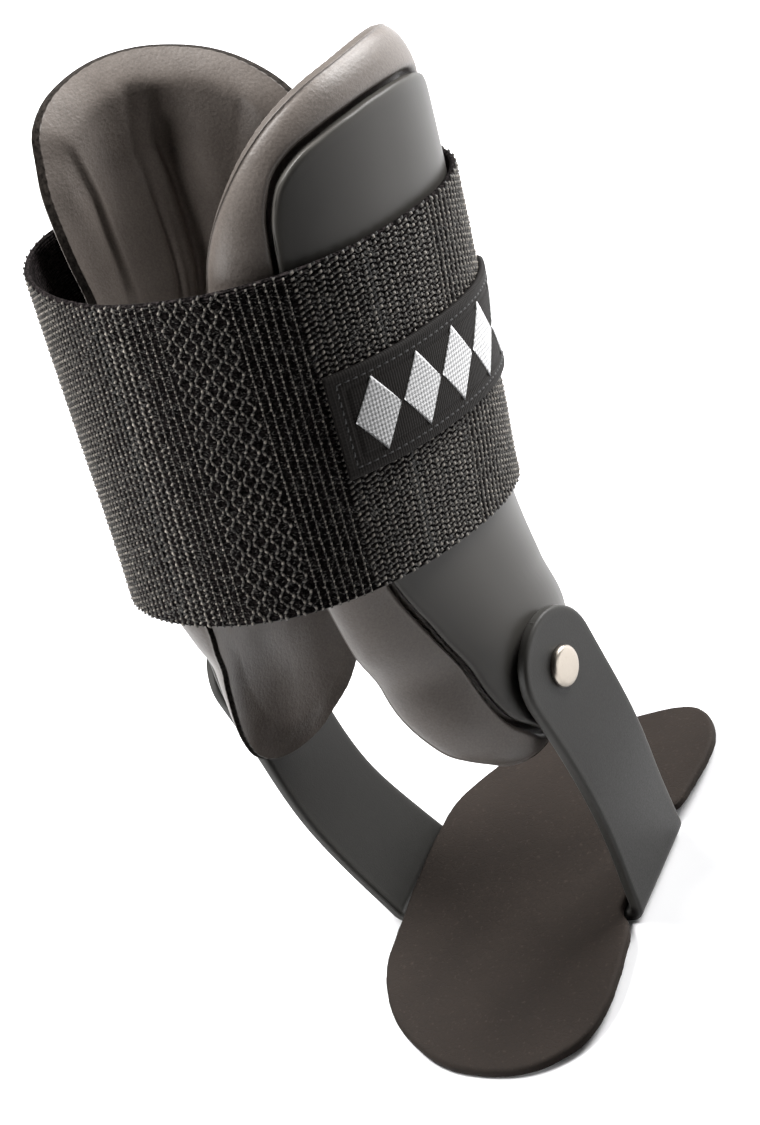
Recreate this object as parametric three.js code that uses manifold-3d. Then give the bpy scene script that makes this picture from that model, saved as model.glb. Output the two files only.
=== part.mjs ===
// Hinged ankle brace: a U-shaped stirrup with a thin foot plate, two rivet hinges, and two hard
// side shells that are lined with foam pads and held round the leg by a wide webbing strap.
// Millimetres, +Z up. The origin is on the ground under the middle of the stirrup's base.
// +X is the outer (lateral) side of the ankle, -Y the front, +Y the heel.
import * as THREE from 'three';
import { mergeVertices } from 'three/addons/utils/BufferGeometryUtils.js';
import Module from 'manifold-3d';

const wasm = await Module();
wasm.setup();

const GAP = 0.3; // between pieces that touch
const DEG = Math.PI / 180;

// Hinge and the lean of the upper body when the brace stands by itself
const HINGE_HEIGHT = 78.3;
const LEAN = 20.4 * DEG; // the strap and shells lean back over the heel
const LEG_AHEAD = 11; // the leg's middle line passes in front of the hinge

// Stirrup: one bent plastic strap, both arms and the base
const STRAP_THICK = 3;
const STIRRUP_EDGE = 0.6; // chamfer along its edges
const HEAD_RADIUS = 14.4;
const BEND_RADIUS = 3; // middle of the strap's thickness
const BEND_CENTRE = 32.6; // distance from the middle to each bend's centre
const ARMS = {
  lateral: { sign: 1, inner: 43.7, lean: 9 * DEG, straightBelowHinge: 14, lowPull: 24, highPull: 22 },
  medial: { sign: -1, inner: 47.0, lean: 22 * DEG, straightBelowHinge: 26, lowPull: 20, highPull: 24 },
};
const BASE_TURN = 4.1 * DEG; // the base is turned a little about the upright axis
const TURN_ENDS = 62; // height where the arms are square to the hinge again
const ARM_WIDTH = [ // half width of the strap at each height
  { z: 0, half: 15.2 },
  { z: 10, half: 14.6 },
  { z: 30, half: 13.7 },
  { z: 58, half: 13.8 },
  { z: HINGE_HEIGHT, half: HEAD_RADIUS },
];
const ARM_STEPS = [3, 7, 12, 4]; // sections along the base, the bend, the curved and the straight part
const HEAD_ANGLES = [0, 14, 28, 42, 54, 65, 74, 81, 86]; // sections of the rounded head, in degrees

// Foot plate: a thin sheet on the base, with both ends drooping to the ground
const PLATE_THICK = 2.5;
const PLATE_FLAT = 16; // half length of the stretch that lies flat on the base
const PLATE_ACROSS = 6; // facets from side to side
const PLATE_OUTLINE = [ // edges of the plate at each distance from the middle, front to back
  { y: -62.8, medial: 10.2, lateral: 18.2 },
  { y: -62.2, medial: 5.2, lateral: 23.0 },
  { y: -60.6, medial: -0.4, lateral: 28.4 },
  { y: -57.0, medial: -7.8, lateral: 34.4 },
  { y: -51.6, medial: -15.8, lateral: 39.6 },
  { y: -43.5, medial: -22.8, lateral: 41.8 },
  { y: -34.0, medial: -27.6, lateral: 41.4 },
  { y: -26.0, medial: -29.0, lateral: 40.0 },
  { y: -19.5, medial: -29.8, lateral: 38.4 },
  { y: -16.5, medial: -30.2, lateral: 36.6 },
  { y: -14.0, medial: -30.8, lateral: 33.8 },
  { y: -4.0, medial: -32.2, lateral: 33.1 },
  { y: 8.0, medial: -33.2, lateral: 32.2 },
  { y: 19.0, medial: -32.8, lateral: 31.6 },
  { y: 21.5, medial: -32.0, lateral: 33.4 },
  { y: 28.4, medial: -28.8, lateral: 34.0 },
  { y: 37.0, medial: -23.4, lateral: 33.8 },
  { y: 43.4, medial: -14.4, lateral: 32.8 },
  { y: 49.8, medial: 1.0, lateral: 29.6 },
  { y: 53.8, medial: 10.0, lateral: 25.8 },
  { y: 55.8, medial: 16.0, lateral: 21.8 },
];

// Level sections of the shells' outer face, in the upper body's own axes with z from the hinge.
// depth is half the size front to back, and centre how far the middle lies behind the hinge.
const LEG_SECTIONS = [
  { z: -30, lateral: 43.3, medial: 46.6, depth: 37, centre: -2 },
  { z: 8, lateral: 43.3, medial: 46.6, depth: 37, centre: -2 },
  { z: 20, lateral: 40.9, medial: 45.9, depth: 40, centre: -5 },
  { z: 40, lateral: 38.6, medial: 45.6, depth: 44.5, centre: -9 },
  { z: 60, lateral: 41.0, medial: 47.4, depth: 47, centre: -LEG_AHEAD },
  { z: 80, lateral: 43.0, medial: 50.2, depth: 47, centre: -LEG_AHEAD },
  { z: 120, lateral: 47.0, medial: 56.0, depth: 47, centre: -LEG_AHEAD },
  { z: 150, lateral: 49.0, medial: 60.5, depth: 47, centre: -LEG_AHEAD },
  { z: 165, lateral: 50.0, medial: 62.0, depth: 47, centre: -LEG_AHEAD },
];
const SQUARENESS = 2.24; // 2 is an ellipse

// Edges of each shell and pad at each height, in degrees round the leg from the side's own middle
const SHELL_THICK = 2.8;
const SHELL_EDGES = {
  lateral: [
    { z: -14.6, front: -2, rear: 7 },
    { z: -13.4, front: -6, rear: 11 },
    { z: -10.6, front: -11, rear: 17 },
    { z: -6.2, front: -18, rear: 23 },
    { z: 1.8, front: -23.8, rear: 29 },
    { z: 10.5, front: -27.4, rear: 33 },
    { z: 20, front: -30.4, rear: 36 },
    { z: 37.8, front: -37.2, rear: 41 },
    { z: 60, front: -40, rear: 43 },
    { z: 90, front: -42, rear: 43 },
    { z: 120, front: -43.1, rear: 43 },
    { z: 133.3, front: -40.3, rear: 41 },
    { z: 138.4, front: -37, rear: 38 },
    { z: 142.8, front: -30, rear: 32 },
    { z: 145.4, front: -20, rear: 23 },
    { z: 146.8, front: -9, rear: 12 },
  ],
  medial: [
    { z: -14.6, front: -2, rear: 7 },
    { z: -13.4, front: -6, rear: 11 },
    { z: -10.6, front: -11, rear: 16 },
    { z: -6.2, front: -17, rear: 22 },
    { z: 1.8, front: -22, rear: 27 },
    { z: 10.5, front: -24, rear: 32 },
    { z: 20, front: -24, rear: 37 },
    { z: 37.8, front: -19, rear: 46 },
    { z: 60, front: -9, rear: 54 },
    { z: 90, front: 2, rear: 61 },
    { z: 115, front: 7, rear: 64 },
    { z: 130, front: 10, rear: 61 },
    { z: 135.5, front: 13, rear: 57 },
    { z: 139.8, front: 18, rear: 50 },
    { z: 142.2, front: 23, rear: 42 },
    { z: 143.4, front: 28, rear: 35 },
  ],
};
const PAD_EDGES = {
  lateral: [
    { z: -20.2, front: -14, rear: 0 },
    { z: -19, front: -21, rear: 8 },
    { z: -16.7, front: -27.5, rear: 16 },
    { z: -14.4, front: -34, rear: 23 },
    { z: -11.5, front: -41, rear: 29 },
    { z: -7, front: -47.3, rear: 36 },
    { z: 1.5, front: -54.4, rear: 43 },
    { z: 12, front: -58.5, rear: 49 },
    { z: 34.4, front: -60.5, rear: 54 },
    { z: 62, front: -62, rear: 57 },
    { z: 90, front: -63.8, rear: 60 },
    { z: 117.5, front: -65.6, rear: 62 },
    { z: 124, front: -62.9, rear: 61 },
    { z: 130.5, front: -58.8, rear: 59 },
    { z: 138.7, front: -51.3, rear: 55 },
    { z: 146.3, front: -42, rear: 49 },
    { z: 152, front: -31.8, rear: 42 },
    { z: 155.8, front: -19.6, rear: 34 },
    { z: 157.6, front: -5, rear: 24 },
  ],
  medial: [
    { z: -22.6, front: -10, rear: 6 },
    { z: -21.2, front: -17, rear: 13 },
    { z: -18.4, front: -26, rear: 20 },
    { z: -14, front: -33.2, rear: 27.8 },
    { z: -8, front: -39, rear: 34 },
    { z: 0, front: -43, rear: 41 },
    { z: 15, front: -44, rear: 49 },
    { z: 30, front: -40, rear: 56 },
    { z: 60, front: -28, rear: 69 },
    { z: 85, front: -17, rear: 79 },
    { z: 103, front: -9.2, rear: 84 },
    { z: 113, front: -9.8, rear: 86 },
    { z: 123, front: -9.5, rear: 86 },
    { z: 130, front: -8.5, rear: 84 },
    { z: 137.8, front: -5.2, rear: 77 },
    { z: 144.2, front: -1.9, rear: 67 },
    { z: 149, front: 4.9, rear: 56 },
    { z: 152.1, front: 13.7, rear: 44.5 },
    { z: 153.7, front: 22, rear: 35 },
  ],
};
const PAD_EDGE_INSET = 6.2; // the pad's thin edge lies this far inside the shell's outer face
const PAD_RIM = 2.6; // thickness of that edge
const PAD_PROUD = 1.2; // inset of the bolster that rises round the shell
const PAD_DEPTH = 12.6; // inset of the face that lies on the leg
const BOLSTER_RISE = 12; // distance from the edge over which the foam reaches its full thickness
const POCKET_CLEAR = 0.4; // room round the shell in its recess
const DEVELOPED_RADIUS = 42; // turns an angle round the leg into a distance
const GROOVES = [ // moulded channels down the face on the leg, by angle from the pad's middle line
  { offset: -29, bottom: 40, top: 136 },
  { offset: 0, bottom: 40, top: 144 },
  { offset: 26, bottom: 40, top: 138 },
];
const GROOVE_DEPTH = 1.5;
const GROOVE_WIDTH = 3.2;
const GROOVE_FADE = 14; // length over which a channel runs out
const SHELL_ACROSS = 12; // facets from the front edge to the rear edge
const PAD_ACROSS = 18;
const SHELL_STEP = 15; // longest facet up the leg
const PAD_STEP = 12;

// Strap round the leg, and the woven label sewn on its outer side
const WEBBING_THICK = 2;
const WEBBING_BOTTOM = 39.8;
const WEBBING_TOP = 119.8;
const WEBBING_CLEAR = 0.8; // webbing's inner face outside the shells
const WEBBING_DEPTH = 47; // half depth of the loop, front to back
const WEBBING_FRONT = 1.1; // how much further the free front of the loop stands off
const FREE_SQUARENESS = [ // the loop hangs straighter between the medial shell and the front
  { z: WEBBING_BOTTOM, n: 2.1 },
  { z: WEBBING_TOP, n: 1.68 },
];
const WEBBING_AROUND = 72; // facets round the loop, and up it
const WEBBING_UP = 4;
const LABEL = { bottom: 68, top: 93.5, front: -41, rear: 48, thick: 0.9, around: 18, up: 2 };

// Rivets
const RIVET = {
  headRadius: 5, headHeight: 1.5, headEdge: 0.5,
  shaftRadius: 2.5, tailRadius: 4, tailHeight: 1, hole: 2.8,
};
const RIVET_SIDES = 20;
const CUT_BEYOND = 5; // how far a cutter reaches past the faces that it goes through

const COLOURS = {
  stirrup: 0x37383a, plate: 0x3e3732, shell: 0x414141, pad: 0x6a605c,
  webbing: 0x1c1a19, label: 0x2c2927, rivet: 0xcfc8c0,
};

// Value of one column of a table of heights, straight between its rows
function column(rows, name, z) {
  const last = rows[rows.length - 1];
  if (z <= rows[0].z) return rows[0][name];
  if (z >= last.z) return last[name];
  const i = rows.findIndex((row) => row.z > z);
  const share = (z - rows[i - 1].z) / (rows[i].z - rows[i - 1].z);
  return THREE.MathUtils.lerp(rows[i - 1][name], rows[i][name], share);
}

function spread(count, from, to) {
  return Array.from({ length: count + 1 }, (_, i) => THREE.MathUtils.lerp(from, to, i / count));
}

// Heights of a table's rows, with more between rows that lie far apart
function stations(rows, longest) {
  return rows.flatMap((row, i) => {
    if (i === rows.length - 1) return [row.z];
    const steps = Math.ceil((rows[i + 1].z - row.z) / longest);
    return spread(steps, row.z, rows[i + 1].z).slice(0, -1);
  });
}

// Closed surface through rings that have the same number of points, counter-clockwise about the
// way they run. joined closes the last ring on the first, otherwise both ends are capped.
function loft(rings, joined = false) {
  const size = rings[0].length;
  const points = rings.flat();
  const faces = [];
  const spans = joined ? rings.length : rings.length - 1;
  for (let i = 0; i < spans; i += 1) {
    const a = i * size;
    const b = ((i + 1) % rings.length) * size;
    for (let j = 0; j < size; j += 1) {
      const k = (j + 1) % size;
      faces.push(a + j, a + k, b + k, a + j, b + k, b + j);
    }
  }
  if (!joined) {
    const flat = (ring) => ring.slice(1, -1).map((_, j) => [0, j + 1, j + 2]);
    const end = (rings.length - 1) * size;
    flat(rings[0]).forEach(([p, q, r]) => faces.push(p, r, q));
    flat(rings[0]).forEach(([p, q, r]) => faces.push(end + p, end + q, end + r));
  }
  const geometry = new THREE.BufferGeometry();
  const numbers = points.flatMap((p) => [p.x, p.y, p.z]);
  geometry.setAttribute('position', new THREE.Float32BufferAttribute(numbers, 3));
  geometry.setIndex(faces);
  return geometry;
}

function solid(geometry) {
  const bare = geometry.clone();
  bare.deleteAttribute('normal');
  bare.deleteAttribute('uv');
  const merged = mergeVertices(bare, 1e-4);
  const vertProperties = new Float32Array(merged.attributes.position.array);
  const triVerts = new Uint32Array(merged.index.array);
  return new wasm.Manifold(new wasm.Mesh({ numProp: 3, vertProperties, triVerts }));
}

function geometryOf(manifold) {
  const mesh = manifold.getMesh();
  const geometry = new THREE.BufferGeometry();
  geometry.setAttribute('position', new THREE.BufferAttribute(mesh.vertProperties, 3));
  geometry.setIndex(new THREE.BufferAttribute(mesh.triVerts, 1));
  return geometry;
}

function piece(name, geometry, color, roughness, metalness = 0) {
  const shaded = geometry.clone();
  shaded.computeVertexNormals();
  const mesh = new THREE.Mesh(shaded, new THREE.MeshStandardMaterial({ color, roughness, metalness }));
  mesh.name = name;
  return mesh;
}

// Point of a rounded oblong section at an angle (degrees) from the side's middle, front negative
function ovalPoint(sign, z, angle, { half, depth, centre, squareness }) {
  const c = Math.cos(angle * DEG);
  const s = Math.sin(angle * DEG);
  const sum = (Math.abs(c) / half) ** squareness + (Math.abs(s) / depth) ** squareness;
  const reach = sum ** (-1 / squareness);
  return new THREE.Vector3(sign * reach * c, reach * s + centre, z);
}

function legPoint(side, z, angle, inset) {
  return ovalPoint(ARMS[side].sign, z, angle, {
    half: column(LEG_SECTIONS, side, z) - inset,
    depth: column(LEG_SECTIONS, 'depth', z) - inset,
    centre: column(LEG_SECTIONS, 'centre', z),
    squareness: SQUARENESS,
  });
}

// Solid between two insets, inside a table of edges
function legSolid(side, edges, across, longest, outerInset, innerInset) {
  const rings = stations(edges, longest).map((z) => {
    const angles = spread(across, column(edges, 'front', z), column(edges, 'rear', z));
    const outer = angles.map((angle) => legPoint(side, z, angle, outerInset(z, angle)));
    const inner = angles.map((angle) => legPoint(side, z, angle, innerInset(z, angle))).reverse();
    const ring = [...outer, ...inner];
    return side === 'lateral' ? ring : ring.reverse();
  });
  return loft(rings);
}

function cylinderAlongX(radius, from, to) {
  const geometry = new THREE.CylinderGeometry(radius, radius, Math.abs(to - from), RIVET_SIDES);
  geometry.rotateZ(Math.PI / 2);
  geometry.translate((from + to) / 2, 0, 0);
  return geometry;
}

// Stirrup

function baseTurn(z) {
  return BASE_TURN * (1 - THREE.MathUtils.smoothstep(z, 0, TURN_ENDS));
}

// Middle line of one arm in the XZ plane, from the base's middle up to the hinge
function armLine(arm) {
  const middle = arm.inner + STRAP_THICK / 2;
  const bend = new THREE.Vector2(BEND_CENTRE, STRAP_THICK / 2 + BEND_RADIUS);
  const from = bend.clone().add(
    new THREE.Vector2(Math.cos(arm.lean), -Math.sin(arm.lean)).multiplyScalar(BEND_RADIUS));
  const up = new THREE.Vector2(Math.sin(arm.lean), Math.cos(arm.lean));
  const to = new THREE.Vector2(middle, HINGE_HEIGHT - arm.straightBelowHinge);
  const line = new THREE.CurvePath();
  line.add(new THREE.LineCurve(new THREE.Vector2(0, STRAP_THICK / 2),
    new THREE.Vector2(BEND_CENTRE, STRAP_THICK / 2)));
  line.add(new THREE.EllipseCurve(bend.x, bend.y, BEND_RADIUS, BEND_RADIUS, -Math.PI / 2, -arm.lean));
  line.add(new THREE.CubicBezierCurve(from, from.clone().addScaledVector(up, arm.lowPull),
    new THREE.Vector2(middle, to.y - arm.highPull), to));
  line.add(new THREE.LineCurve(to, new THREE.Vector2(middle, HINGE_HEIGHT)));
  return line;
}

function strapSection(point, tangent, half, sign) {
  const turn = baseTurn(point.y);
  const along = new THREE.Vector3(tangent.x * sign, 0, tangent.y);
  const width = new THREE.Vector3(0, 1, 0);
  const outward = new THREE.Vector3().crossVectors(along, width).multiplyScalar(sign);
  const edge = Math.min(STIRRUP_EDGE, half / 2);
  const thick = STRAP_THICK / 2;
  const corners = [
    [-half, -thick + edge], [-half + edge, -thick], [half - edge, -thick], [half, -thick + edge],
    [half, thick - edge], [half - edge, thick], [-half + edge, thick], [-half, thick - edge],
  ];
  return corners.map(([w, t]) => new THREE.Vector3(point.x * sign, 0, point.y)
    .addScaledVector(width, w * sign).addScaledVector(outward, -t)
    .applyAxisAngle(new THREE.Vector3(0, 0, 1), turn));
}

function armSections(arm) {
  const line = armLine(arm);
  const sections = line.curves.flatMap((curve, i) => spread(ARM_STEPS[i], 0, 1).slice(0, -1).map((t) => {
    const point = curve.getPoint(t);
    return strapSection(point, curve.getTangent(t), column(ARM_WIDTH, 'half', point.y), arm.sign);
  }));
  const top = line.curves[line.curves.length - 1].getPoint(1);
  const head = HEAD_ANGLES.map((degrees) => {
    const point = new THREE.Vector2(top.x, top.y + HEAD_RADIUS * Math.sin(degrees * DEG));
    return strapSection(point, new THREE.Vector2(0, 1), HEAD_RADIUS * Math.cos(degrees * DEG), arm.sign);
  });
  return [...sections, ...head];
}

function stirrup() {
  const lateral = armSections(ARMS.lateral);
  const medial = armSections(ARMS.medial).slice(1).map((ring) => {
    const flipped = ring.slice().reverse();
    return [...flipped.slice(4), ...flipped.slice(0, 4)];
  });
  let body = solid(loft([...lateral.reverse(), ...medial]));
  for (const arm of Object.values(ARMS)) {
    const from = arm.inner - CUT_BEYOND;
    const to = arm.inner + STRAP_THICK + CUT_BEYOND;
    const hole = cylinderAlongX(RIVET.hole, arm.sign * from, arm.sign * to);
    hole.translate(0, 0, HINGE_HEIGHT);
    body = body.subtract(solid(hole));
  }
  return geometryOf(body);
}

// Foot plate

function plateDroop(y) {
  const front = PLATE_OUTLINE[0].y;
  const back = PLATE_OUTLINE[PLATE_OUTLINE.length - 1].y;
  const end = y < 0 ? -front : back;
  const share = Math.max(0, Math.abs(y) - PLATE_FLAT) / (end - PLATE_FLAT);
  return (STRAP_THICK + GAP) * (1 - share ** 1.5);
}

function footPlate() {
  const rings = PLATE_OUTLINE.map(({ y, medial, lateral }) => {
    const under = plateDroop(y);
    const xs = spread(PLATE_ACROSS, medial, lateral);
    const bottom = xs.map((x) => new THREE.Vector3(x, y, under));
    const top = xs.map((x) => new THREE.Vector3(x, y, under + PLATE_THICK)).reverse();
    return [...bottom, ...top].reverse();
  });
  return loft(rings);
}

// Shells and pads

function shell(side) {
  return solid(legSolid(side, SHELL_EDGES[side], SHELL_ACROSS, SHELL_STEP, () => 0, () => SHELL_THICK));
}

// Distance from a point of the pad to the pad's outline, measured on the developed surface
function edgeDistance(side, z, angle) {
  const edges = PAD_EDGES[side];
  const outline = [
    ...edges.map((row) => [row.front, row.z]),
    ...edges.map((row) => [row.rear, row.z]).reverse(),
  ].map(([a, height]) => new THREE.Vector3(a * DEG * DEVELOPED_RADIUS, height, 0));
  const here = new THREE.Vector3(angle * DEG * DEVELOPED_RADIUS, z, 0);
  const nearest = new THREE.Vector3();
  return outline.reduce((least, point, i) => {
    const next = outline[(i + 1) % outline.length];
    new THREE.Line3(point, next).closestPointToPoint(here, true, nearest);
    return Math.min(least, nearest.distanceTo(here));
  }, Infinity);
}

function grooveDepth(side, z, angle) {
  const edges = PAD_EDGES[side];
  const middle = (column(edges, 'front', z) + column(edges, 'rear', z)) / 2;
  return GROOVES.reduce((sum, { offset, bottom, top }) => {
    const away = (angle - middle - offset) * DEG * DEVELOPED_RADIUS / GROOVE_WIDTH;
    const ends = THREE.MathUtils.smoothstep(z, bottom, bottom + GROOVE_FADE)
      * (1 - THREE.MathUtils.smoothstep(z, top - GROOVE_FADE, top));
    return sum + GROOVE_DEPTH * ends * Math.exp(-away * away);
  }, 0);
}

function padOuter(side, z, angle) {
  const rise = Math.min(1, edgeDistance(side, z, angle) / BOLSTER_RISE);
  return THREE.MathUtils.lerp(PAD_EDGE_INSET, PAD_PROUD, Math.sqrt(1 - (1 - rise) ** 2));
}

function padInner(side, z, angle) {
  const share = Math.min(1, edgeDistance(side, z, angle) / (2 * BOLSTER_RISE));
  const eased = share * (1.5 - 0.5 * share * share); // steepest at the rim, level on the face
  return THREE.MathUtils.lerp(PAD_EDGE_INSET + PAD_RIM, PAD_DEPTH, eased) - grooveDepth(side, z, angle);
}

// Recess that the shell lies in, open to the outside
function shellPocket(side) {
  const widen = POCKET_CLEAR / DEVELOPED_RADIUS / DEG;
  const last = SHELL_EDGES[side].length - 1;
  const edges = SHELL_EDGES[side].map(({ z, front, rear }, i) => ({
    z: z + (i === last ? POCKET_CLEAR : 0) - (i === 0 ? POCKET_CLEAR : 0),
    front: front - widen,
    rear: rear + widen,
  }));
  return solid(legSolid(side, edges, SHELL_ACROSS, SHELL_STEP, () => -CUT_BEYOND, () => SHELL_THICK + GAP));
}

function pad(side) {
  const form = legSolid(side, PAD_EDGES[side], PAD_ACROSS, PAD_STEP,
    (z, angle) => padOuter(side, z, angle), (z, angle) => padInner(side, z, angle));
  const face = column(LEG_SECTIONS, side, 0) - SHELL_THICK;
  const sign = ARMS[side].sign;
  const deep = face - RIVET.tailHeight - 4 * GAP;
  const tailPocket = cylinderAlongX(RIVET.tailRadius + 2 * GAP, sign * deep, sign * (face + 1));
  return geometryOf(solid(form).subtract(shellPocket(side)).subtract(solid(tailPocket)));
}

function shellWithHole(side) {
  const { sign, inner } = ARMS[side];
  const from = inner - SHELL_THICK - CUT_BEYOND;
  const hole = cylinderAlongX(RIVET.hole, sign * from, sign * (inner + CUT_BEYOND));
  return geometryOf(shell(side).subtract(solid(hole)));
}

// Strap and label

// Point on the webbing at an angle right round the leg: 0 lateral, 90 heel, 180 medial, 270 front
function webbingPoint(z, round, offset) {
  const turn = ((round % 360) + 360) % 360;
  const lateral = turn <= 90 || turn >= 270;
  const side = lateral ? 'lateral' : 'medial';
  const front = turn > 180;
  const angle = lateral ? (turn > 180 ? turn - 360 : turn) : 180 - turn;
  const free = front && !lateral;
  return ovalPoint(ARMS[side].sign, z, angle, {
    half: column(LEG_SECTIONS, side, z) + offset,
    depth: WEBBING_DEPTH + offset + (front ? WEBBING_FRONT : 0),
    centre: -LEG_AHEAD,
    squareness: free ? column(FREE_SQUARENESS, 'n', z) : SQUARENESS,
  });
}

// Upright band that follows the webbing between two angles, or right round it
function band(heights, angles, outer, inner, joined) {
  const rings = angles.map((angle) => [
    ...heights.map((z) => webbingPoint(z, angle, inner)),
    ...heights.map((z) => webbingPoint(z, angle, outer)).reverse(),
  ]);
  return loft(rings, joined);
}

function calfStrap() {
  const around = spread(WEBBING_AROUND, 0, 360).slice(0, -1);
  const heights = spread(WEBBING_UP, WEBBING_BOTTOM, WEBBING_TOP);
  return band(heights, around, WEBBING_CLEAR + WEBBING_THICK, WEBBING_CLEAR, true);
}

function label() {
  const face = WEBBING_CLEAR + WEBBING_THICK + GAP;
  const around = spread(LABEL.around, LABEL.front, LABEL.rear);
  const heights = spread(LABEL.up, LABEL.bottom, LABEL.top);
  return band(heights, around, face + LABEL.thick, face, false);
}

// Rivets

function rivet(side) {
  const { sign, inner } = ARMS[side];
  const shellFace = column(LEG_SECTIONS, side, 0);
  const headFoot = inner + STRAP_THICK + GAP;
  const tailTop = shellFace - SHELL_THICK - 2 * GAP;
  const { headRadius, headHeight, headEdge, shaftRadius, tailRadius, tailHeight } = RIVET;
  const profile = [
    [0, tailTop - tailHeight], [tailRadius, tailTop - tailHeight], [tailRadius, tailTop],
    [shaftRadius, tailTop], [shaftRadius, headFoot], [headRadius, headFoot],
    [headRadius, headFoot + headHeight - headEdge], [headRadius - headEdge, headFoot + headHeight],
    [0, headFoot + headHeight],
  ].map(([radius, along]) => new THREE.Vector2(radius, along));
  const geometry = new THREE.LatheGeometry(profile, RIVET_SIDES);
  geometry.rotateZ(-sign * Math.PI / 2);
  return geometryOf(solid(geometry));
}

// Assembly

const brace = new THREE.Group();
brace.add(piece('stirrup', stirrup(), COLOURS.stirrup, 0.5));
brace.add(piece('foot_plate', footPlate(), COLOURS.plate, 0.85));

const hinge = new THREE.Group();
hinge.position.z = HINGE_HEIGHT;
hinge.add(piece('outer_rivet', rivet('lateral'), COLOURS.rivet, 0.3, 1));
hinge.add(piece('inner_rivet', rivet('medial'), COLOURS.rivet, 0.3, 1));
brace.add(hinge);

const upper = new THREE.Group();
upper.rotation.x = -LEAN;
upper.add(piece('outer_shell', shellWithHole('lateral'), COLOURS.shell, 0.45));
upper.add(piece('inner_shell', shellWithHole('medial'), COLOURS.shell, 0.45));
upper.add(piece('outer_pad', pad('lateral'), COLOURS.pad, 0.6));
upper.add(piece('inner_pad', pad('medial'), COLOURS.pad, 0.6));
upper.add(piece('calf_strap', calfStrap(), COLOURS.webbing, 0.95));
upper.add(piece('label', label(), COLOURS.label, 0.8));
hinge.add(upper);

export default brace;
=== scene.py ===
"""Looks of a hinged ankle brace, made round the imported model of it.

Sizes in the tables are millimetres. The upper body's own axes start at the hinge, with z up the leg,
and lean back over the heel. +X is the outer side of the ankle, -Y the front and +Y the heel.
"""

import math

import bpy
import numpy as np
from mathutils import Matrix, Vector


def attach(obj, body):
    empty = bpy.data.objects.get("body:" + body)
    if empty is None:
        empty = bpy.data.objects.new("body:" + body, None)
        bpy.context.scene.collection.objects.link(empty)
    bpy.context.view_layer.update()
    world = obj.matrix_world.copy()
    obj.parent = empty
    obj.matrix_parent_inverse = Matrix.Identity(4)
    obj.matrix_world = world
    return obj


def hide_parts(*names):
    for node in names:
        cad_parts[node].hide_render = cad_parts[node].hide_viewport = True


bl_info = {
    "name": "Hinged Ankle Brace",
    "version": (1, 0, 0),
    "blender": (4, 5, 0),
    "location": "View3D > Sidebar > Ankle Brace",
    "description": "Makes the pieces of a hinged ankle brace round its packed model",
    "category": "Add Mesh",
}

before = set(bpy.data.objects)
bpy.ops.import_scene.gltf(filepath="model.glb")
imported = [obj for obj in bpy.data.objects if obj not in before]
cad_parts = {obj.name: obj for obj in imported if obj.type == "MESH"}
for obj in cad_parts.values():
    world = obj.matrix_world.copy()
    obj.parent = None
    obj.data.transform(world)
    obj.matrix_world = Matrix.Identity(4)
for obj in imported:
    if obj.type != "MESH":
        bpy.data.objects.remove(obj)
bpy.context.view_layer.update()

MM = 0.001
HINGE_HEIGHT = 78.3
LEAN = math.radians(20.4)
SIGN = {"lateral": 1, "medial": -1}

# Level sections of the shells' outer face: z, half width outside, half width inside, half depth, centre
LEG = np.array([
    (-30, 43.3, 46.6, 37, -2), (8, 43.3, 46.6, 37, -2), (20, 40.9, 45.9, 40, -5),
    (40, 38.6, 45.6, 44.5, -9), (60, 41.0, 47.4, 47, -11), (80, 43.0, 50.2, 47, -11),
    (120, 47.0, 56.0, 47, -11), (150, 49.0, 60.5, 47, -11), (165, 50.0, 62.0, 47, -11),
])
SQUARENESS = 2.24  # 2 is an ellipse
DEVELOPED_RADIUS = 42.0  # turns an angle round the leg into a distance
RIM_POINTS = 420
PAD_RIM_POINTS = 480
EDGE_REACH = 5.0  # distance over which a hard piece's edge value rises to 1

# Edges of shells and pads: z, then the front and rear edge in degrees round the leg
SHELL_EDGES = {
    "lateral": [
        (-14.6, -2, 7), (-13.4, -6, 11), (-10.6, -11, 17), (-6.2, -18, 23), (1.8, -23.8, 29),
        (10.5, -27.4, 33), (20, -30.4, 36), (37.8, -37.2, 41), (60, -40, 43), (90, -42, 43),
        (120, -43.1, 43), (133.3, -40.3, 41), (138.4, -37, 38), (142.8, -30, 32), (145.4, -20, 23),
        (146.8, -9, 12),
    ],
    "medial": [
        (-14.6, -2, 7), (-13.4, -6, 11), (-10.6, -11, 16), (-6.2, -17, 22), (1.8, -22, 27),
        (10.5, -24, 32), (20, -24, 37), (37.8, -19, 46), (60, -9, 54), (90, 2, 61), (115, 7, 64),
        (130, 10, 61), (135.5, 13, 57), (139.8, 18, 50), (142.2, 23, 42), (143.4, 28, 35),
    ],
}
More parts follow.
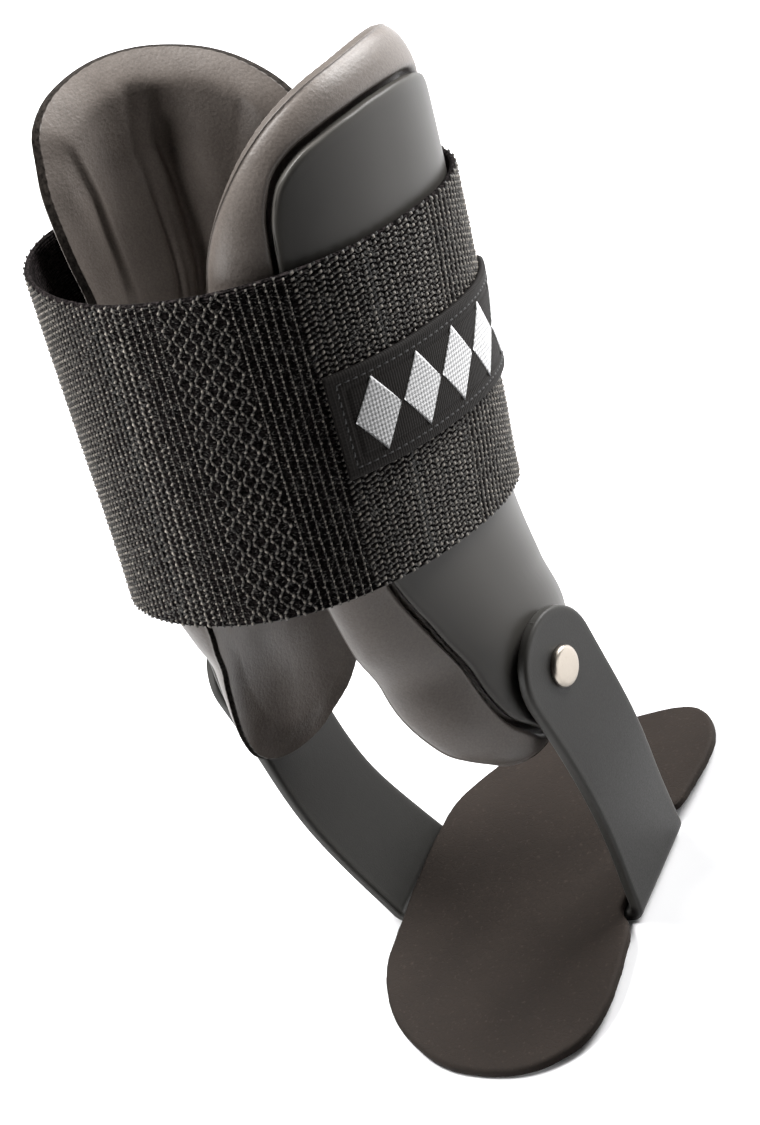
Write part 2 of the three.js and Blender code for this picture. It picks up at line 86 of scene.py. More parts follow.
PAD_EDGES = {
    "lateral": [
        (-20.2, -14, 0), (-19, -21, 8), (-16.7, -27.5, 16), (-14.4, -34, 23), (-11.5, -41, 29),
        (-7, -47.3, 36), (1.5, -55.6, 43), (12, -60.2, 49), (34.4, -62, 54), (62, -62, 57),
        (90, -63.8, 60), (117.5, -65.6, 62), (124, -62.9, 61), (130.5, -58.8, 59),
        (138.7, -51.3, 55), (146.3, -42, 49), (152, -31.8, 42), (155.8, -19.6, 34), (157.6, -5, 24),
    ],
    "medial": [
        (-22.6, -9, 6), (-21.4, -12.5, 13), (-18.4, -17.5, 20), (-14, -22, 27.8), (-8, -28, 34),
        (0, -33.5, 41), (8, -37.5, 45.5), (15, -43, 49), (22, -48, 52.5), (30, -51.5, 56), (38, -50, 59.5),
        (48, -41, 64), (60, -30, 69), (85, -17, 79), (103, -9.2, 84),
        (113, -9.8, 86), (123, -9.5, 86), (130, -8.5, 84), (137.8, -5.2, 77), (144.2, -1.9, 67),
        (149, 4.9, 56), (152.1, 13.7, 44.5), (153.7, 22, 35),
    ],
}
# Moulded channels down a pad's face: degrees from its middle line, lowest and highest point,
# depth, half width on the front and on the rear side, and height of the ridge behind it
CHANNELS = [
    (-34, 34, 146, 1.2, 3.6, 0.7, 0.25), (-5.5, 34, 152, 3.2, 1.4, 4.6, 1.1),
    (-14.5, 30, 143, 0.9, 0.7, 0.8, 0.3), (24, 40, 148, 0.9, 0.8, 2.4, 0.4),
]
LOW_FADE, HIGH_FADE = 20, 26  # a channel fades out over these heights

# Half width of the stirrup's strap at each height
ARM_WIDTH = np.array([(0, 15.2), (10, 14.6), (30, 13.7), (58, 13.8), (78.3, 14.4)])
ARMS = {
    "lateral": {"inner": 43.7, "lean": 9, "straight": 14, "low_pull": 24, "high_pull": 22},
    "medial": {"inner": 47.0, "lean": 22, "straight": 26, "low_pull": 20, "high_pull": 24},
}
# Outline of the foot plate: y, then the inner and outer edge
PLATE_OUTLINE = [
    (-62.8, 10.2, 18.2), (-62.2, 5.2, 23.0), (-60.6, -0.4, 28.4), (-57.0, -7.8, 34.4),
    (-51.6, -15.8, 39.6), (-43.5, -22.8, 41.8), (-34.0, -27.6, 41.4), (-26.0, -29.0, 40.0),
    (-19.5, -29.8, 38.4), (-16.5, -30.2, 36.6), (-14.0, -30.8, 33.8), (-4.0, -32.2, 33.1),
    (8.0, -33.2, 32.2), (19.0, -32.8, 31.6), (21.5, -32.0, 33.4), (28.4, -28.8, 34.0),
    (37.0, -23.4, 33.8), (43.4, -14.4, 32.8), (49.8, 1.0, 29.6), (53.8, 10.0, 25.8),
    (55.8, 16.0, 21.8),
]
FREE_SQUARENESS = [(39.8, 2.1), (119.8, 1.68)]  # of the loop's free front, low and high


def colour(code):
    """An sRGB hex colour as linear red, green, blue and alpha."""
    parts = [int(code[i:i + 2], 16) / 255 for i in (0, 2, 4)]
    linear = [p / 12.92 if p <= 0.04045 else ((p + 0.055) / 1.055) ** 2.4 for p in parts]
    return (*linear, 1.0)


def length_property(name, description, default):
    return bpy.props.FloatProperty(
        name=name, description=description, default=default * MM, min=0.0,
        subtype="DISTANCE", unit="LENGTH", precision=5)


def colour_property(name, description, code):
    return bpy.props.FloatVectorProperty(
        name=name, description=description, default=colour(code), size=4, min=0.0, max=1.0,
        subtype="COLOR")


class BraceSizes(bpy.types.PropertyGroup):
    """Sizes of the brace's visible pieces."""

    shell_thick: length_property("Shell Thickness", "Thickness of the side shells", 2.8)
    shell_edge: length_property("Shell Edge", "Radius of the shells' outer edge", 1.1)
    pad_rim: length_property("Pad Rim", "Thickness of a pad's thin edge", 2.6)
    pad_lip: length_property("Pad Lip", "Radius of the foam's lip round the shell", 1.8)
    pad_flange: length_property("Pad Flange", "Width of the flat flange outside a pad's bolster", 0.5)
    strap_thick: length_property("Stirrup Thickness", "Thickness of the stirrup's strap", 3.0)
    strap_edge: length_property("Stirrup Edge", "Radius of the stirrup's edges", 0.9)
    plate_thick: length_property("Plate Thickness", "Thickness of the foot plate", 2.5)
    webbing_low: length_property("Webbing Bottom", "Lower edge of the strap above the hinge", 39.8)
    webbing_high: length_property("Webbing Top", "Upper edge of the strap above the hinge", 119.8)
    webbing_thick: length_property("Webbing Thickness", "Thickness of the strap, threads included", 2.0)
    column_pitch: length_property("Column Pitch", "Distance from one thread column to the next", 2.08)
    row_pitch: length_property("Row Pitch", "Distance from one thread to the next in a column", 1.4)
    stitch_pitch: length_property("Stitch Pitch", "Distance from one sewn stitch to the next", 2.6)
    rivet_radius: length_property("Rivet Radius", "Radius of a rivet's head", 5.0)


class BraceColours(bpy.types.PropertyGroup):
    """Colours of the brace's finishes."""

    stirrup: colour_property("Stirrup", "Moulded nylon of the stirrup", "262523")
    plate: colour_property("Foot Plate", "Grained skin of the foot plate", "28221e")
    shell: colour_property("Shells", "Moulded plastic of the shells", "3a3835")
    pad: colour_property("Pads", "Skin of the foam pads", "675f59")
    # near black: partly the ground yarn's dark colour, partly painted shade deep in the weave
    webbing_ground: colour_property("Webbing Ground", "Threads deep in the weave", "060505")
    webbing_thread: colour_property("Webbing Thread", "Threads on top of the weave", "989188")
    label: colour_property("Label", "Ground of the woven label", "151210")
    motif: colour_property("Motif", "Pale threads of the label's ornament", "fafafc")
    rivet: colour_property("Rivets", "Nickel plate of the rivets", "a29a90")
    floor: colour_property("Floor", "Studio floor", "f4f4f5")


# Curves and sections


def hermite(t, a, b, rise_a, rise_b):
    """Point at t of a cubic curve from a to b, with the rise that it has at each."""
    return (a * (1 + 2 * t) * (1 - t) ** 2 + b * t * t * (3 - 2 * t)
            + rise_a * t * (1 - t) ** 2 - rise_b * t * t * (1 - t))


def between(x, xs, ys):
    """Smooth value of a table at x, without overshoot."""
    xs, ys = np.asarray(xs, float), np.asarray(ys, float)
    steps = np.diff(xs)
    rises = np.diff(ys) / steps
    slopes = np.zeros(len(xs))
    slopes[0], slopes[-1] = rises[0], rises[-1]
    product = rises[:-1] * rises[1:]
    total = rises[:-1] + rises[1:]
    total[total == 0] = 1
    slopes[1:-1] = np.where(product > 0, 2 * product / total, 0)
    x = np.clip(x, xs[0], xs[-1])
    i = np.clip(np.searchsorted(xs, x, side="right") - 1, 0, len(steps) - 1)
    h = steps[i]
    return hermite((x - xs[i]) / h, ys[i], ys[i + 1], h * slopes[i], h * slopes[i + 1])


def smoothstep(x, low, high):
    t = np.clip((x - low) / (high - low), 0, 1)
    return t * t * (3 - 2 * t)


def closed_curve(points, count=2400):
    """Smooth closed line through points, as evenly spaced points."""
    points = np.asarray(points, float)[:, None]
    step = np.roll(points, -1, 0) - points
    after = np.linalg.norm(step, axis=2, keepdims=True)
    before = np.roll(after, 1, 0)
    rise = step / after
    slope = (np.roll(rise, 1, 0) * after + rise * before) / (before + after)
    t = np.linspace(0, 1, 40, endpoint=False)[None, :, None]
    line = hermite(
        t, points, np.roll(points, -1, 0), slope * after, np.roll(slope, -1, 0) * after).reshape(-1, 2)
    length = np.r_[0, np.cumsum(np.linalg.norm(np.roll(line, -1, 0) - line, axis=1))]
    even = np.linspace(0, length[-1], count, endpoint=False)
    looped = np.vstack([line, line[:1]])
    return np.stack([np.interp(even, length, looped[:, i]) for i in (0, 1)], 1)


class Outline:
    """A smooth closed outline on a flat plane, seen from a centre that sees all of it."""

    def __init__(self, points, centre):
        self.centre = np.asarray(centre, float)
        self.line = closed_curve(points)
        away = self.line - self.centre
        angle = np.arctan2(away[:, 1], away[:, 0])
        order = np.argsort(angle)
        self.angles = angle[order]
        self.radii = np.linalg.norm(away, axis=1)[order]

    def radius(self, angle):
        return np.interp(angle, self.angles, self.radii, period=2 * math.pi)

    def bearings(self, count):
        """Directions from the centre to evenly spaced points of the outline."""
        pick = self.line[np.linspace(0, len(self.line), count, endpoint=False).astype(int)]
        away = pick - self.centre
        return np.arctan2(away[:, 1], away[:, 0])

    def distance(self, points):
        """Distance from each point to the outline."""
        flat = points.reshape(-1, 2)
        least = np.concatenate([
            np.sqrt(((part[:, None] - self.line[None, ::3]) ** 2).sum(2).min(1))
            for part in np.array_split(flat, max(1, len(flat) // 2000))])
        return least.reshape(points.shape[:-1])


def edge_outline(edges, centre):
    """Outline of a shell or pad on the developed surface: distance round the leg, and height."""
    rows = np.array(edges, float)
    reach = np.radians(rows[:, 1:]) * DEVELOPED_RADIUS
    front = np.stack([reach[:, 0], rows[:, 0]], 1)
    rear = np.stack([reach[:, 1], rows[:, 0]], 1)
    return Outline(np.vstack([front, rear[::-1]]), centre)


def spread_rings(bearings, centre, radii):
    """Points at each bearing for each set of radii, rim first."""
    ways = np.stack([np.cos(bearings), np.sin(bearings)], 1)
    return np.asarray(centre) + np.asarray(radii)[..., None] * ways[None]


def inset_rings(outline, count, insets, shares):
    """Rings from the rim inwards, set in by lengths and then by shares of the reach, and the
    distance of each point to the rim."""
    bearings = outline.bearings(count)
    rim = outline.radius(bearings)
    radii = np.vstack([rim[None] - np.array(insets)[:, None], rim[None] * shares[:, None]])
    rings = spread_rings(bearings, outline.centre, radii)
    near = outline.distance(rings)
    near[0] = 0
    return rings, near


def to_row(points):
    """From the upper body's own axes to the row frame."""
    x, y, z = np.moveaxis(points, -1, 0)
    c, s = math.cos(LEAN), math.sin(LEAN)
    return np.stack([x, y * c + z * s, HINGE_HEIGHT - y * s + z * c], -1)


def oval(sign, z, degrees, half, depth, centre, squareness):
    c, s = np.cos(np.radians(degrees)), np.sin(np.radians(degrees))
    reach = ((np.abs(c) / half) ** squareness + (np.abs(s) / depth) ** squareness) ** (-1 / squareness)
    return np.stack([sign * reach * c, reach * s + centre, z + 0 * reach], -1)


def leg_point(side, flat, inset):
    """Point of the shells' outer face, or inset from it, for a point of the developed surface."""
    z = flat[..., 1]
    degrees = np.degrees(flat[..., 0] / DEVELOPED_RADIUS)
    half = between(z, LEG[:, 0], LEG[:, 1 if side == "lateral" else 2]) - inset
    depth = between(z, LEG[:, 0], LEG[:, 3]) - inset
    return oval(SIGN[side], z, degrees, half, depth, between(z, LEG[:, 0], LEG[:, 4]), SQUARENESS)


# Meshes


def link(made):
    bpy.context.scene.collection.objects.link(made)
    return made


def piece(name, verts, faces, body, slot, material, replaced=(), attributes=None, uv=None):
    """A mesh piece from points in millimetres, faces outwards, riding on a body."""
    verts = np.asarray(verts, float) * MM
    fans = np.array([(f[0], f[i], f[i + 1]) for f in faces for i in range(1, len(f) - 1)])
    a, b, c = verts[fans[:, 0]], verts[fans[:, 1]], verts[fans[:, 2]]
    if np.einsum("ij,ij->i", a, np.cross(b, c)).sum() < 0:
        faces = [tuple(reversed(f)) for f in faces]
    mesh = bpy.data.meshes.new(name)
    mesh.from_pydata(verts.tolist(), [], faces)
    mesh.validate()
    for label, values in (attributes or {}).items():
        mesh.attributes.new(label, "FLOAT", "POINT").data.foreach_set(
            "value", np.asarray(values, np.float32).ravel())
    if uv is not None:
        corners = np.zeros(len(mesh.loops), int)
        mesh.loops.foreach_get("vertex_index", corners)
        mesh.uv_layers.new(name="weave").data.foreach_set(
            "uv", np.asarray(uv, np.float32).reshape(-1, 2)[corners].ravel())
    mesh.shade_smooth()
    return settle(bpy.data.objects.new(name, mesh), body, material, replaced)


def settle(made, body, material, replaced=()):
    """Links a piece, and gives it its finish, its body and the nodes that it stands for."""
    link(made)
    made.data.materials.clear()
    made.data.materials.append(material)
    if replaced:
        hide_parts(*replaced)
    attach(made, body)
    return made


def ring_slab(top, bottom):
    """Closed surface over two stacks of rings, each from the rim inwards, as points and faces."""
    count = top.shape[1]
    poles = np.stack([top[-1].mean(0), bottom[-1].mean(0)])
    verts = np.vstack([top.reshape(-1, 3), bottom.reshape(-1, 3), poles])
    faces = []
    here = np.arange(count)
    after = np.roll(here, -1)
    start = 0
    for stack, sign in ((top, 1), (bottom, -1)):
        for i in range(len(stack) - 1):
            a, b = start + i * count, start + (i + 1) * count
            quads = np.stack([a + here, a + after, b + after, b + here], 1)[:, ::sign]
            faces += quads.tolist()
        last = start + (len(stack) - 1) * count
        pole = len(verts) - (2 if sign > 0 else 1)
        fan = np.stack([last + here, last + after, 0 * here + pole], 1)[:, ::sign]
        faces += fan.tolist()
        start += len(stack) * count
    under = len(top) * count
    faces += np.stack([here + under, after + under, after, here], 1).tolist()
    return verts, faces


def stack_values(top, bottom):
    """Values of a pair of ring stacks in the order of ring_slab's points."""
    return np.concatenate([top.ravel(), bottom.ravel(), [top[-1].mean(), bottom[-1].mean()]])


def edge_values(near):
    return np.clip(near / EDGE_REACH, 0, 1)


def grid_faces(rows, columns, closed_rows=False, closed_columns=False):
    i = np.arange(rows if closed_rows else rows - 1)
    j = np.arange(columns if closed_columns else columns - 1)
    i, j = (m.ravel() for m in np.meshgrid(i, j, indexing="ij"))
    k, m = (i + 1) % rows, (j + 1) % columns
    return np.stack([i * columns + j, i * columns + m, k * columns + m, k * columns + j], 1).tolist()


def capped_loop(outer, inner):
    """Closed surface between two grids of points that meet along their sides, as points and faces."""
    rows, columns = outer.shape[:2]
    width = 2 * columns
    faces = grid_faces(rows, width, closed_columns=True)
    for end, turn in ((0, 1), ((rows - 1) * width, -1)):
        faces += [[end + j, end + j + 1, end + width - 2 - j, end + width - 1 - j][::turn]
                  for j in range(columns - 1)]
    return np.concatenate([outer, inner[:, ::-1]], 1).reshape(-1, 3), faces


def round_drop(distance, radius):
    """How far a face falls at a distance from a rounded edge of that radius."""
    inside = np.clip(radius - distance, 0, radius)
    return radius - np.sqrt(np.maximum(radius ** 2 - inside ** 2, 0))


# Materials


def add(tree, kind, inputs=None, **settings):
    """Adds a node with its settings, and links or sets its inputs."""
    made = tree.nodes.new(kind)
    for name, value in settings.items():
        setattr(made, name, value)
    for key, value in (inputs or {}).items():
        if isinstance(value, bpy.types.NodeSocket):
            tree.links.new(value, made.inputs[key])
        else:
            made.inputs[key].default_value = value
    return made


def maths(tree, operation, *values):
    return add(tree, "ShaderNodeMath", dict(enumerate(values)), operation=operation).outputs[0]


def attribute(tree, name):
    return add(tree, "ShaderNodeAttribute", attribute_name=name).outputs["Fac"]


def new_material(name):
    material = bpy.data.materials.new(name)
    material.use_nodes = True
    material.node_tree.nodes.clear()
    return material, material.node_tree


def finish(material, inputs):
    """The material, with a shader of these inputs."""
    shader = add(material.node_tree, "ShaderNodeBsdfPrincipled", inputs)
    add(material.node_tree, "ShaderNodeOutputMaterial", {"Surface": shader.outputs[0]})
    return material


def shade(rgba, factor):
    return (*[min(1.0, c * factor) for c in rgba[:3]], 1.0)


def object_place(tree):
    return add(tree, "ShaderNodeTexCoord").outputs["Object"]


def noise(tree, size, detail=2.0, rough=0.5):
    """Noise whose features are about size millimetres across."""
    made = add(tree, "ShaderNodeTexNoise", {
        "Vector": object_place(tree), "Scale": 1 / (size * MM), "Detail": detail, "Roughness": rough})
    return made.outputs["Fac"]


def ramp(tree, value, *stops):
    """Greys along a value, from (position, grey) pairs."""
    made = add(tree, "ShaderNodeValToRGB", {"Fac": value})
    marks = made.color_ramp.elements
    marks[0].position, marks[1].position = stops[0][0], stops[-1][0]
    for position, _ in stops[1:-1]:
        marks.new(position)
    for mark, (_, grey) in zip(marks, stops):
        mark.color = (grey, grey, grey, 1.0)
    return made.outputs["Color"]


def bump(tree, height, strength, depth, normal=None):
    """Bump of the given depth in millimetres."""
    inputs = {"Height": height, "Strength": strength, "Distance": depth * MM}
    if normal is not None:
        inputs["Normal"] = normal
    return add(tree, "ShaderNodeBump", inputs).outputs["Normal"]


def mix(tree, factor, a, b, blend="MIX"):
    return add(tree, "ShaderNodeMix", {0: factor, 6: a, 7: b}, data_type="RGBA", blend_type=blend).outputs[2]


def times(tree, a, b):
    return mix(tree, 1.0, a, b, "MULTIPLY")


def tones(tree, value, base, dark, pale):
    """Shades of a colour along a value."""
    return mix(tree, value, shade(base, dark), shade(base, pale))


def moulded_nylon(base):
    """Glass-filled nylon from a spark-eroded mould: a fine even grain that breaks up the gloss,
    and a painted highlight that makes the edges paler."""
    material, tree = new_material("moulded_nylon")
    grain = noise(tree, 0.45, 3.0, 0.6)
    cloudy = noise(tree, 22.0, 2.0)
    # painted highlight: the edges are painted paler, fading out within about 2.5 mm of them
    painted_edge_highlight = ramp(tree, attribute(tree, "edge"), (0.0, 0.5), (0.18, 0.16), (0.5, 0.0))
    tone = tones(tree, cloudy, base, 0.82, 1.2)
    return finish(material, {
        "Base Color": mix(tree, painted_edge_highlight, tone, shade(base, 3.4)),
        "Specular IOR Level": 0.2,
        "Roughness": ramp(tree, grain, (0.3, 0.4), (0.7, 0.54)),
        "Normal": bump(tree, grain, 0.5, 0.05),
        "IOR": 1.53})


def moulded_polypropylene(base):
    """Satin polypropylene off a polished mould: smooth, with slow waves in the gloss and a faint grain."""
    material, tree = new_material("moulded_polypropylene")
    grain = noise(tree, 0.6, 2.0, 0.55)
    cloudy = noise(tree, 30.0, 2.0)
    # painted highlight: the shells' edges are painted paler, fading out within about 3.5 mm of them
    painted_edge_highlight = ramp(tree, attribute(tree, "edge"), (0.0, 0.4), (0.3, 0.1), (0.7, 0.0))
    tone = tones(tree, cloudy, base, 0.9, 1.12)
    return finish(material, {
        "Base Color": mix(tree, painted_edge_highlight, tone, shade(base, 2.6)),
        "Specular IOR Level": 0.25,
        "Roughness": ramp(tree, cloudy, (0.3, 0.36), (0.7, 0.46)),
        "Normal": bump(tree, grain, 0.25, 0.03),
        "IOR": 1.49})


def foam_skin(base):
    """Closed-cell foam moulded with a skin: pebbled like fine leather, with a soft warm sheen,
    and dark and torn along its knife-cut edge."""
    material, tree = new_material("eva_foam_skin")
    warp = noise(tree, 1.6, 2.0)
    pebbles = add(tree, "ShaderNodeTexVoronoi", {
        "Vector": mix(tree, 0.0007, object_place(tree), warp, "ADD"), "Scale": 1 / MM, "Smoothness": 0.6},
        feature="SMOOTH_F1").outputs["Distance"]
    fine = noise(tree, 0.5, 3.0, 0.6)
    wrinkles = noise(tree, 2.6, 2.0, 0.6)
    cloudy = noise(tree, 14.0, 3.0, 0.6)
    tone = tones(tree, cloudy, base, 0.74, 1.22)
    speck = ramp(tree, fine, (0.25, 0.72), (0.75, 1.15))
    skin = times(tree, tone, speck)
    cut = attribute(tree, "cut")
    torn = ramp(tree, noise(tree, 1.1, 4.0, 0.75), (0.35, 0.03), (0.7, 0.25))
    skin = mix(tree, cut, skin, times(tree, base, torn))
    height = mix(tree, 0.45, mix(tree, 0.3, pebbles, wrinkles), fine)
    return finish(material, {
        "Base Color": skin,
        "Roughness": ramp(tree, cloudy, (0.25, 0.4), (0.75, 0.54)),
        "Normal": bump(tree, height, 0.75, 0.16),
        "Specular IOR Level": ramp(tree, cut, (0.0, 0.6), (1.0, 0.0)),
        "Sheen Weight": 0.1, "Sheen Roughness": 0.4, "Sheen Tint": (1.0, 0.94, 0.9, 1.0),
        "IOR": 1.45})


def grained_leather(base):
    """Bonded leather with a worn nap: dull, finely pitted, with pale specks and slow brown clouds."""
    material, tree = new_material("bonded_leather")
    pits = noise(tree, 0.7, 4.0, 0.7)
    creases = add(tree, "ShaderNodeTexVoronoi", {"Vector": object_place(tree), "Scale": 1 / (2.2 * MM)},
                  feature="DISTANCE_TO_EDGE").outputs["Distance"]
    cloudy = noise(tree, 26.0, 3.0, 0.6)
    specks = noise(tree, 0.9, 1.0)
    tone = tones(tree, cloudy, base, 0.7, 1.45)
    worn = mix(tree, ramp(tree, specks, (0.64, 0.0), (0.76, 0.55)), tone, shade(base, 2.2))
    height = mix(tree, 0.25, pits, ramp(tree, creases, (0.0, 0.0), (0.12, 1.0)))
    return finish(material, {
        "Base Color": times(tree, worn, ramp(tree, pits, (0.3, 0.72), (0.7, 1.12))),
        "Roughness": ramp(tree, pits, (0.3, 0.72), (0.7, 0.9)),
        "Normal": bump(tree, height, 0.7, 0.12),
        "Specular IOR Level": 0.2, "IOR": 1.45})


def weave_wave(tree, axis, pitch):
    """Wave across the rows or columns of a weave, one for each pitch in millimetres."""
    place = add(tree, "ShaderNodeUVMap", uv_map="weave").outputs["UV"]
    along = add(tree, "ShaderNodeSeparateXYZ", {0: place}).outputs[axis]
    return maths(tree, "SINE", maths(tree, "MULTIPLY", along, 2 * math.pi / (pitch * MM)))


def webbing_ground(base):
    """Dark polypropylene yarn under the top threads, painted near black with the shade deep in the weave, and
    ribbed along the rows of the weave.
    """
    material, tree = new_material("webbing_ground_yarn")
    fuzz = noise(tree, 0.35, 3.0, 0.7)
    stray = noise(tree, 0.7, 3.0, 0.75)
    # painted shade: the ground's near-black colour stands for the shade between the floats; the stray flecks
    # are lighter
    tone = tones(tree, ramp(tree, stray, (0.44, 0.0), (0.66, 1.0)), base, 0.5, 20.0)
    return finish(material, {
        "Base Color": tone, "Roughness": 0.95, "Specular IOR Level": 0.03,
        "Normal": bump(tree, fuzz, 0.6, 0.15, bump(tree, weave_wave(tree, "Y", 0.7), 0.8, 0.12)),
        "IOR": 1.49})


def webbing_thread(name, base):
    """Textured nylon yarn in short floats: a soft lustre that differs from one float to the next, and painted
    shade that darkens each float towards its foot.
    """
    material, tree = new_material(name)
    each = attribute(tree, "tone")
    crest = attribute(tree, "crest")
    fibre = noise(tree, 0.25, 3.0, 0.7)
    # painted shade: each float's colour falls with its crest height, to near black where it meets the ground
    tone = times(tree, tones(tree, each, base, 0.1, 1.9),
                 ramp(tree, crest, (0.0, 0.02), (0.5, 0.38), (0.9, 1.0)))
    return finish(material, {
        "Base Color": times(tree, tone, ramp(tree, fibre, (0.3, 0.7), (0.7, 1.25))),
        "Roughness": 0.5,
        "Specular IOR Level": 0.35,
        "Normal": bump(tree, fibre, 0.5, 0.06), "IOR": 1.53})


def woven_cloth(name, base, pitch, gloss, lift):
    """Damask label cloth of fine polyester: rows so close that they show as a faint rib."""
    material, tree = new_material(name)
    weave = maths(tree, "ADD", weave_wave(tree, "X", pitch), weave_wave(tree, "Y", pitch * 1.2))
    fuzz = noise(tree, 0.5, 3.0, 0.65)
    return finish(material, {
        "Base Color": tones(tree, fuzz, base, 1 - lift, 1 + lift),
        "Roughness": gloss,
        "Normal": bump(tree, fuzz, 0.4, 0.08, bump(tree, weave, 0.5, 0.06)),
        "Specular IOR Level": 0.15, "IOR": 1.5})


def nickel_plate(base):
    """Nickel-plated steel, pressed and tumbled: bright but soft, with fine scuffs."""
    material, tree = new_material("nickel_plated_steel")
    scuff = noise(tree, 0.8, 4.0, 0.7)
    return finish(material, {
        "Base Color": tones(tree, scuff, base, 0.86, 1.08),
        "Metallic": 1.0,
        "Roughness": ramp(tree, scuff, (0.3, 0.26), (0.7, 0.42)),
        "Normal": bump(tree, scuff, 0.2, 0.03)})


def studio_paper(base):
    """Seamless paper roll: flat and pale."""
    material, tree = new_material("seamless_paper")
    fibre = noise(tree, 4.0, 2.0)
    return finish(material, {
        "Base Color": tones(tree, fibre, base, 0.995, 1.005), "Roughness": 0.9})


# Stirrup

HEAD_RADIUS = 14.4
BEND_RADIUS = 3.0
BEND_CENTRE = 32.6
BASE_TURN = math.radians(4.1)
TURN_ENDS = 62.0
HEAD_ANGLES = np.array([0, 8, 16, 24, 32, 40, 47, 54, 60, 65, 69, 72.5, 75.5, 78, 80.5, 83, 85.5, 88, 89.7])


def arm_line(arm, thick):
    """Middle line of one arm, outwards and up: points, and the direction at each."""
    middle = arm["inner"] + thick / 2
    lean = math.radians(arm["lean"])
    bend = np.array([BEND_CENTRE, thick / 2 + BEND_RADIUS])
    start = bend + BEND_RADIUS * np.array([math.cos(lean), -math.sin(lean)])
    up = np.array([math.sin(lean), math.cos(lean)])
    end = np.array([middle, HINGE_HEIGHT - arm["straight"]])
    base = np.stack([np.linspace(0, BEND_CENTRE, 22, endpoint=False), np.full(22, thick / 2)], 1)
    turn = np.linspace(-math.pi / 2, -lean, 12, endpoint=False)
    curve = bend + BEND_RADIUS * np.stack([np.cos(turn), np.sin(turn)], 1)
    t = np.linspace(0, 1, 40, endpoint=False)[:, None]
    pulled = ((1 - t) ** 3 * start + 3 * (1 - t) ** 2 * t * (start + up * arm["low_pull"])
              + 3 * (1 - t) * t * t * (end - [0, arm["high_pull"]]) + t ** 3 * end)
    rise = np.linspace(end[1], HINGE_HEIGHT, 16)
    straight = np.stack([np.full(16, middle), rise], 1)
    line = np.vstack([base, curve, pulled, straight])
    way = np.gradient(line, axis=0)
    return line, way / np.linalg.norm(way, axis=1)[:, None]


def arm_rings(side, thick, edge):
    """Two grids over one arm, its outer and inner face, from the base's middle to the rounded head."""
    sign = SIGN[side]
    line, way = arm_line(ARMS[side], thick)
    half = between(line[:, 1], ARM_WIDTH[:, 0], ARM_WIDTH[:, 1])
    head = np.radians(HEAD_ANGLES[1:])
    top = np.stack([np.full(len(head), line[-1, 0]), HINGE_HEIGHT + HEAD_RADIUS * np.sin(head)], 1)
    line = np.vstack([line, top])
    way = np.vstack([way, np.tile([0.0, 1.0], (len(head), 1))])
    half = np.r_[half, HEAD_RADIUS * np.cos(head)]
    rims = np.array([0.88, 0.93, 0.96, 0.98, 0.995, 1])
    share = np.r_[-rims[::-1], np.linspace(-0.8, 0.8, 14), rims]
    across = half[:, None] * share[None]
    above = np.maximum(line[:, 1] - HINGE_HEIGHT, 0)[:, None]
    to_side = half[:, None] * (1 - np.abs(share[None]))
    to_head = HEAD_RADIUS - np.sqrt(above ** 2 + across ** 2)
    distance = np.maximum(np.where(above > 0, to_head, to_side), 0)
    drop = round_drop(distance, edge)
    outward = np.stack([way[:, 1], -way[:, 0]], 1)
    turn = BASE_TURN * (1 - smoothstep(line[:, 1], 0, TURN_ENDS))
    grids = []
    for face in (1, -1):
        flat = line[:, None] + face * (thick / 2 - drop)[..., None] * outward[:, None]
        x, y, z = sign * flat[..., 0], across, flat[..., 1]
        c, s = np.cos(turn)[:, None], np.sin(turn)[:, None]
        grids.append(np.stack([x * c - y * s, x * s + y * c, z], -1))
    return grids, distance


def make_stirrup(sizes, colours):
    thick, edge = sizes.strap_thick / MM, sizes.strap_edge / MM
    (outer_l, inner_l), near_l = arm_rings("lateral", thick, edge)
    (outer_m, inner_m), near_m = arm_rings("medial", thick, edge)
    outer = np.vstack([outer_l[::-1], outer_m[1:]])
    inner = np.vstack([inner_l[::-1], inner_m[1:]])
    near = np.vstack([near_l[::-1], near_m[1:]])
    values = np.concatenate([near, near[:, ::-1]], 1)
    piece("stirrup_strap", *capped_loop(outer, inner), "lower", "arm_plastic",
          moulded_nylon(colours.stirrup), ["stirrup"], {"edge": edge_values(values)})


# Foot plate

PLATE_FLAT = 16.0
PLATE_LIFT = 3.3


def plate_place(flat, drop):
    y = flat[..., 1]
    end = np.where(y < 0, -PLATE_OUTLINE[0][0], PLATE_OUTLINE[-1][0])
    share = np.clip((np.abs(y) - PLATE_FLAT) / (end - PLATE_FLAT), 0, 1)
    return np.stack([flat[..., 0], y, PLATE_LIFT * (1 - share ** 1.5) + drop], -1)


def make_plate(sizes, colours):
    thick = sizes.plate_thick / MM
    rows = np.array(PLATE_OUTLINE)
    outline = Outline(np.vstack([rows[:, [1, 0]], rows[::-1][:, [2, 0]]]), (2, -4))
    insets = [0, 0.08, 0.25, 0.5, 0.85, 1.3, 2.2, 3.6]
    rings, near = inset_rings(outline, RIM_POINTS, insets, np.linspace(0.88, 0.03, 16))
    top = plate_place(rings, thick - round_drop(near, 1.0))
    bottom = plate_place(rings, round_drop(near, 0.6))
    verts, faces = ring_slab(top, bottom)
    piece("foot_plate_leather", verts, faces, "lower", "plate_leather", grained_leather(colours.plate),
          ["foot_plate"], {"edge": edge_values(stack_values(near, near))})


# Shells and pads

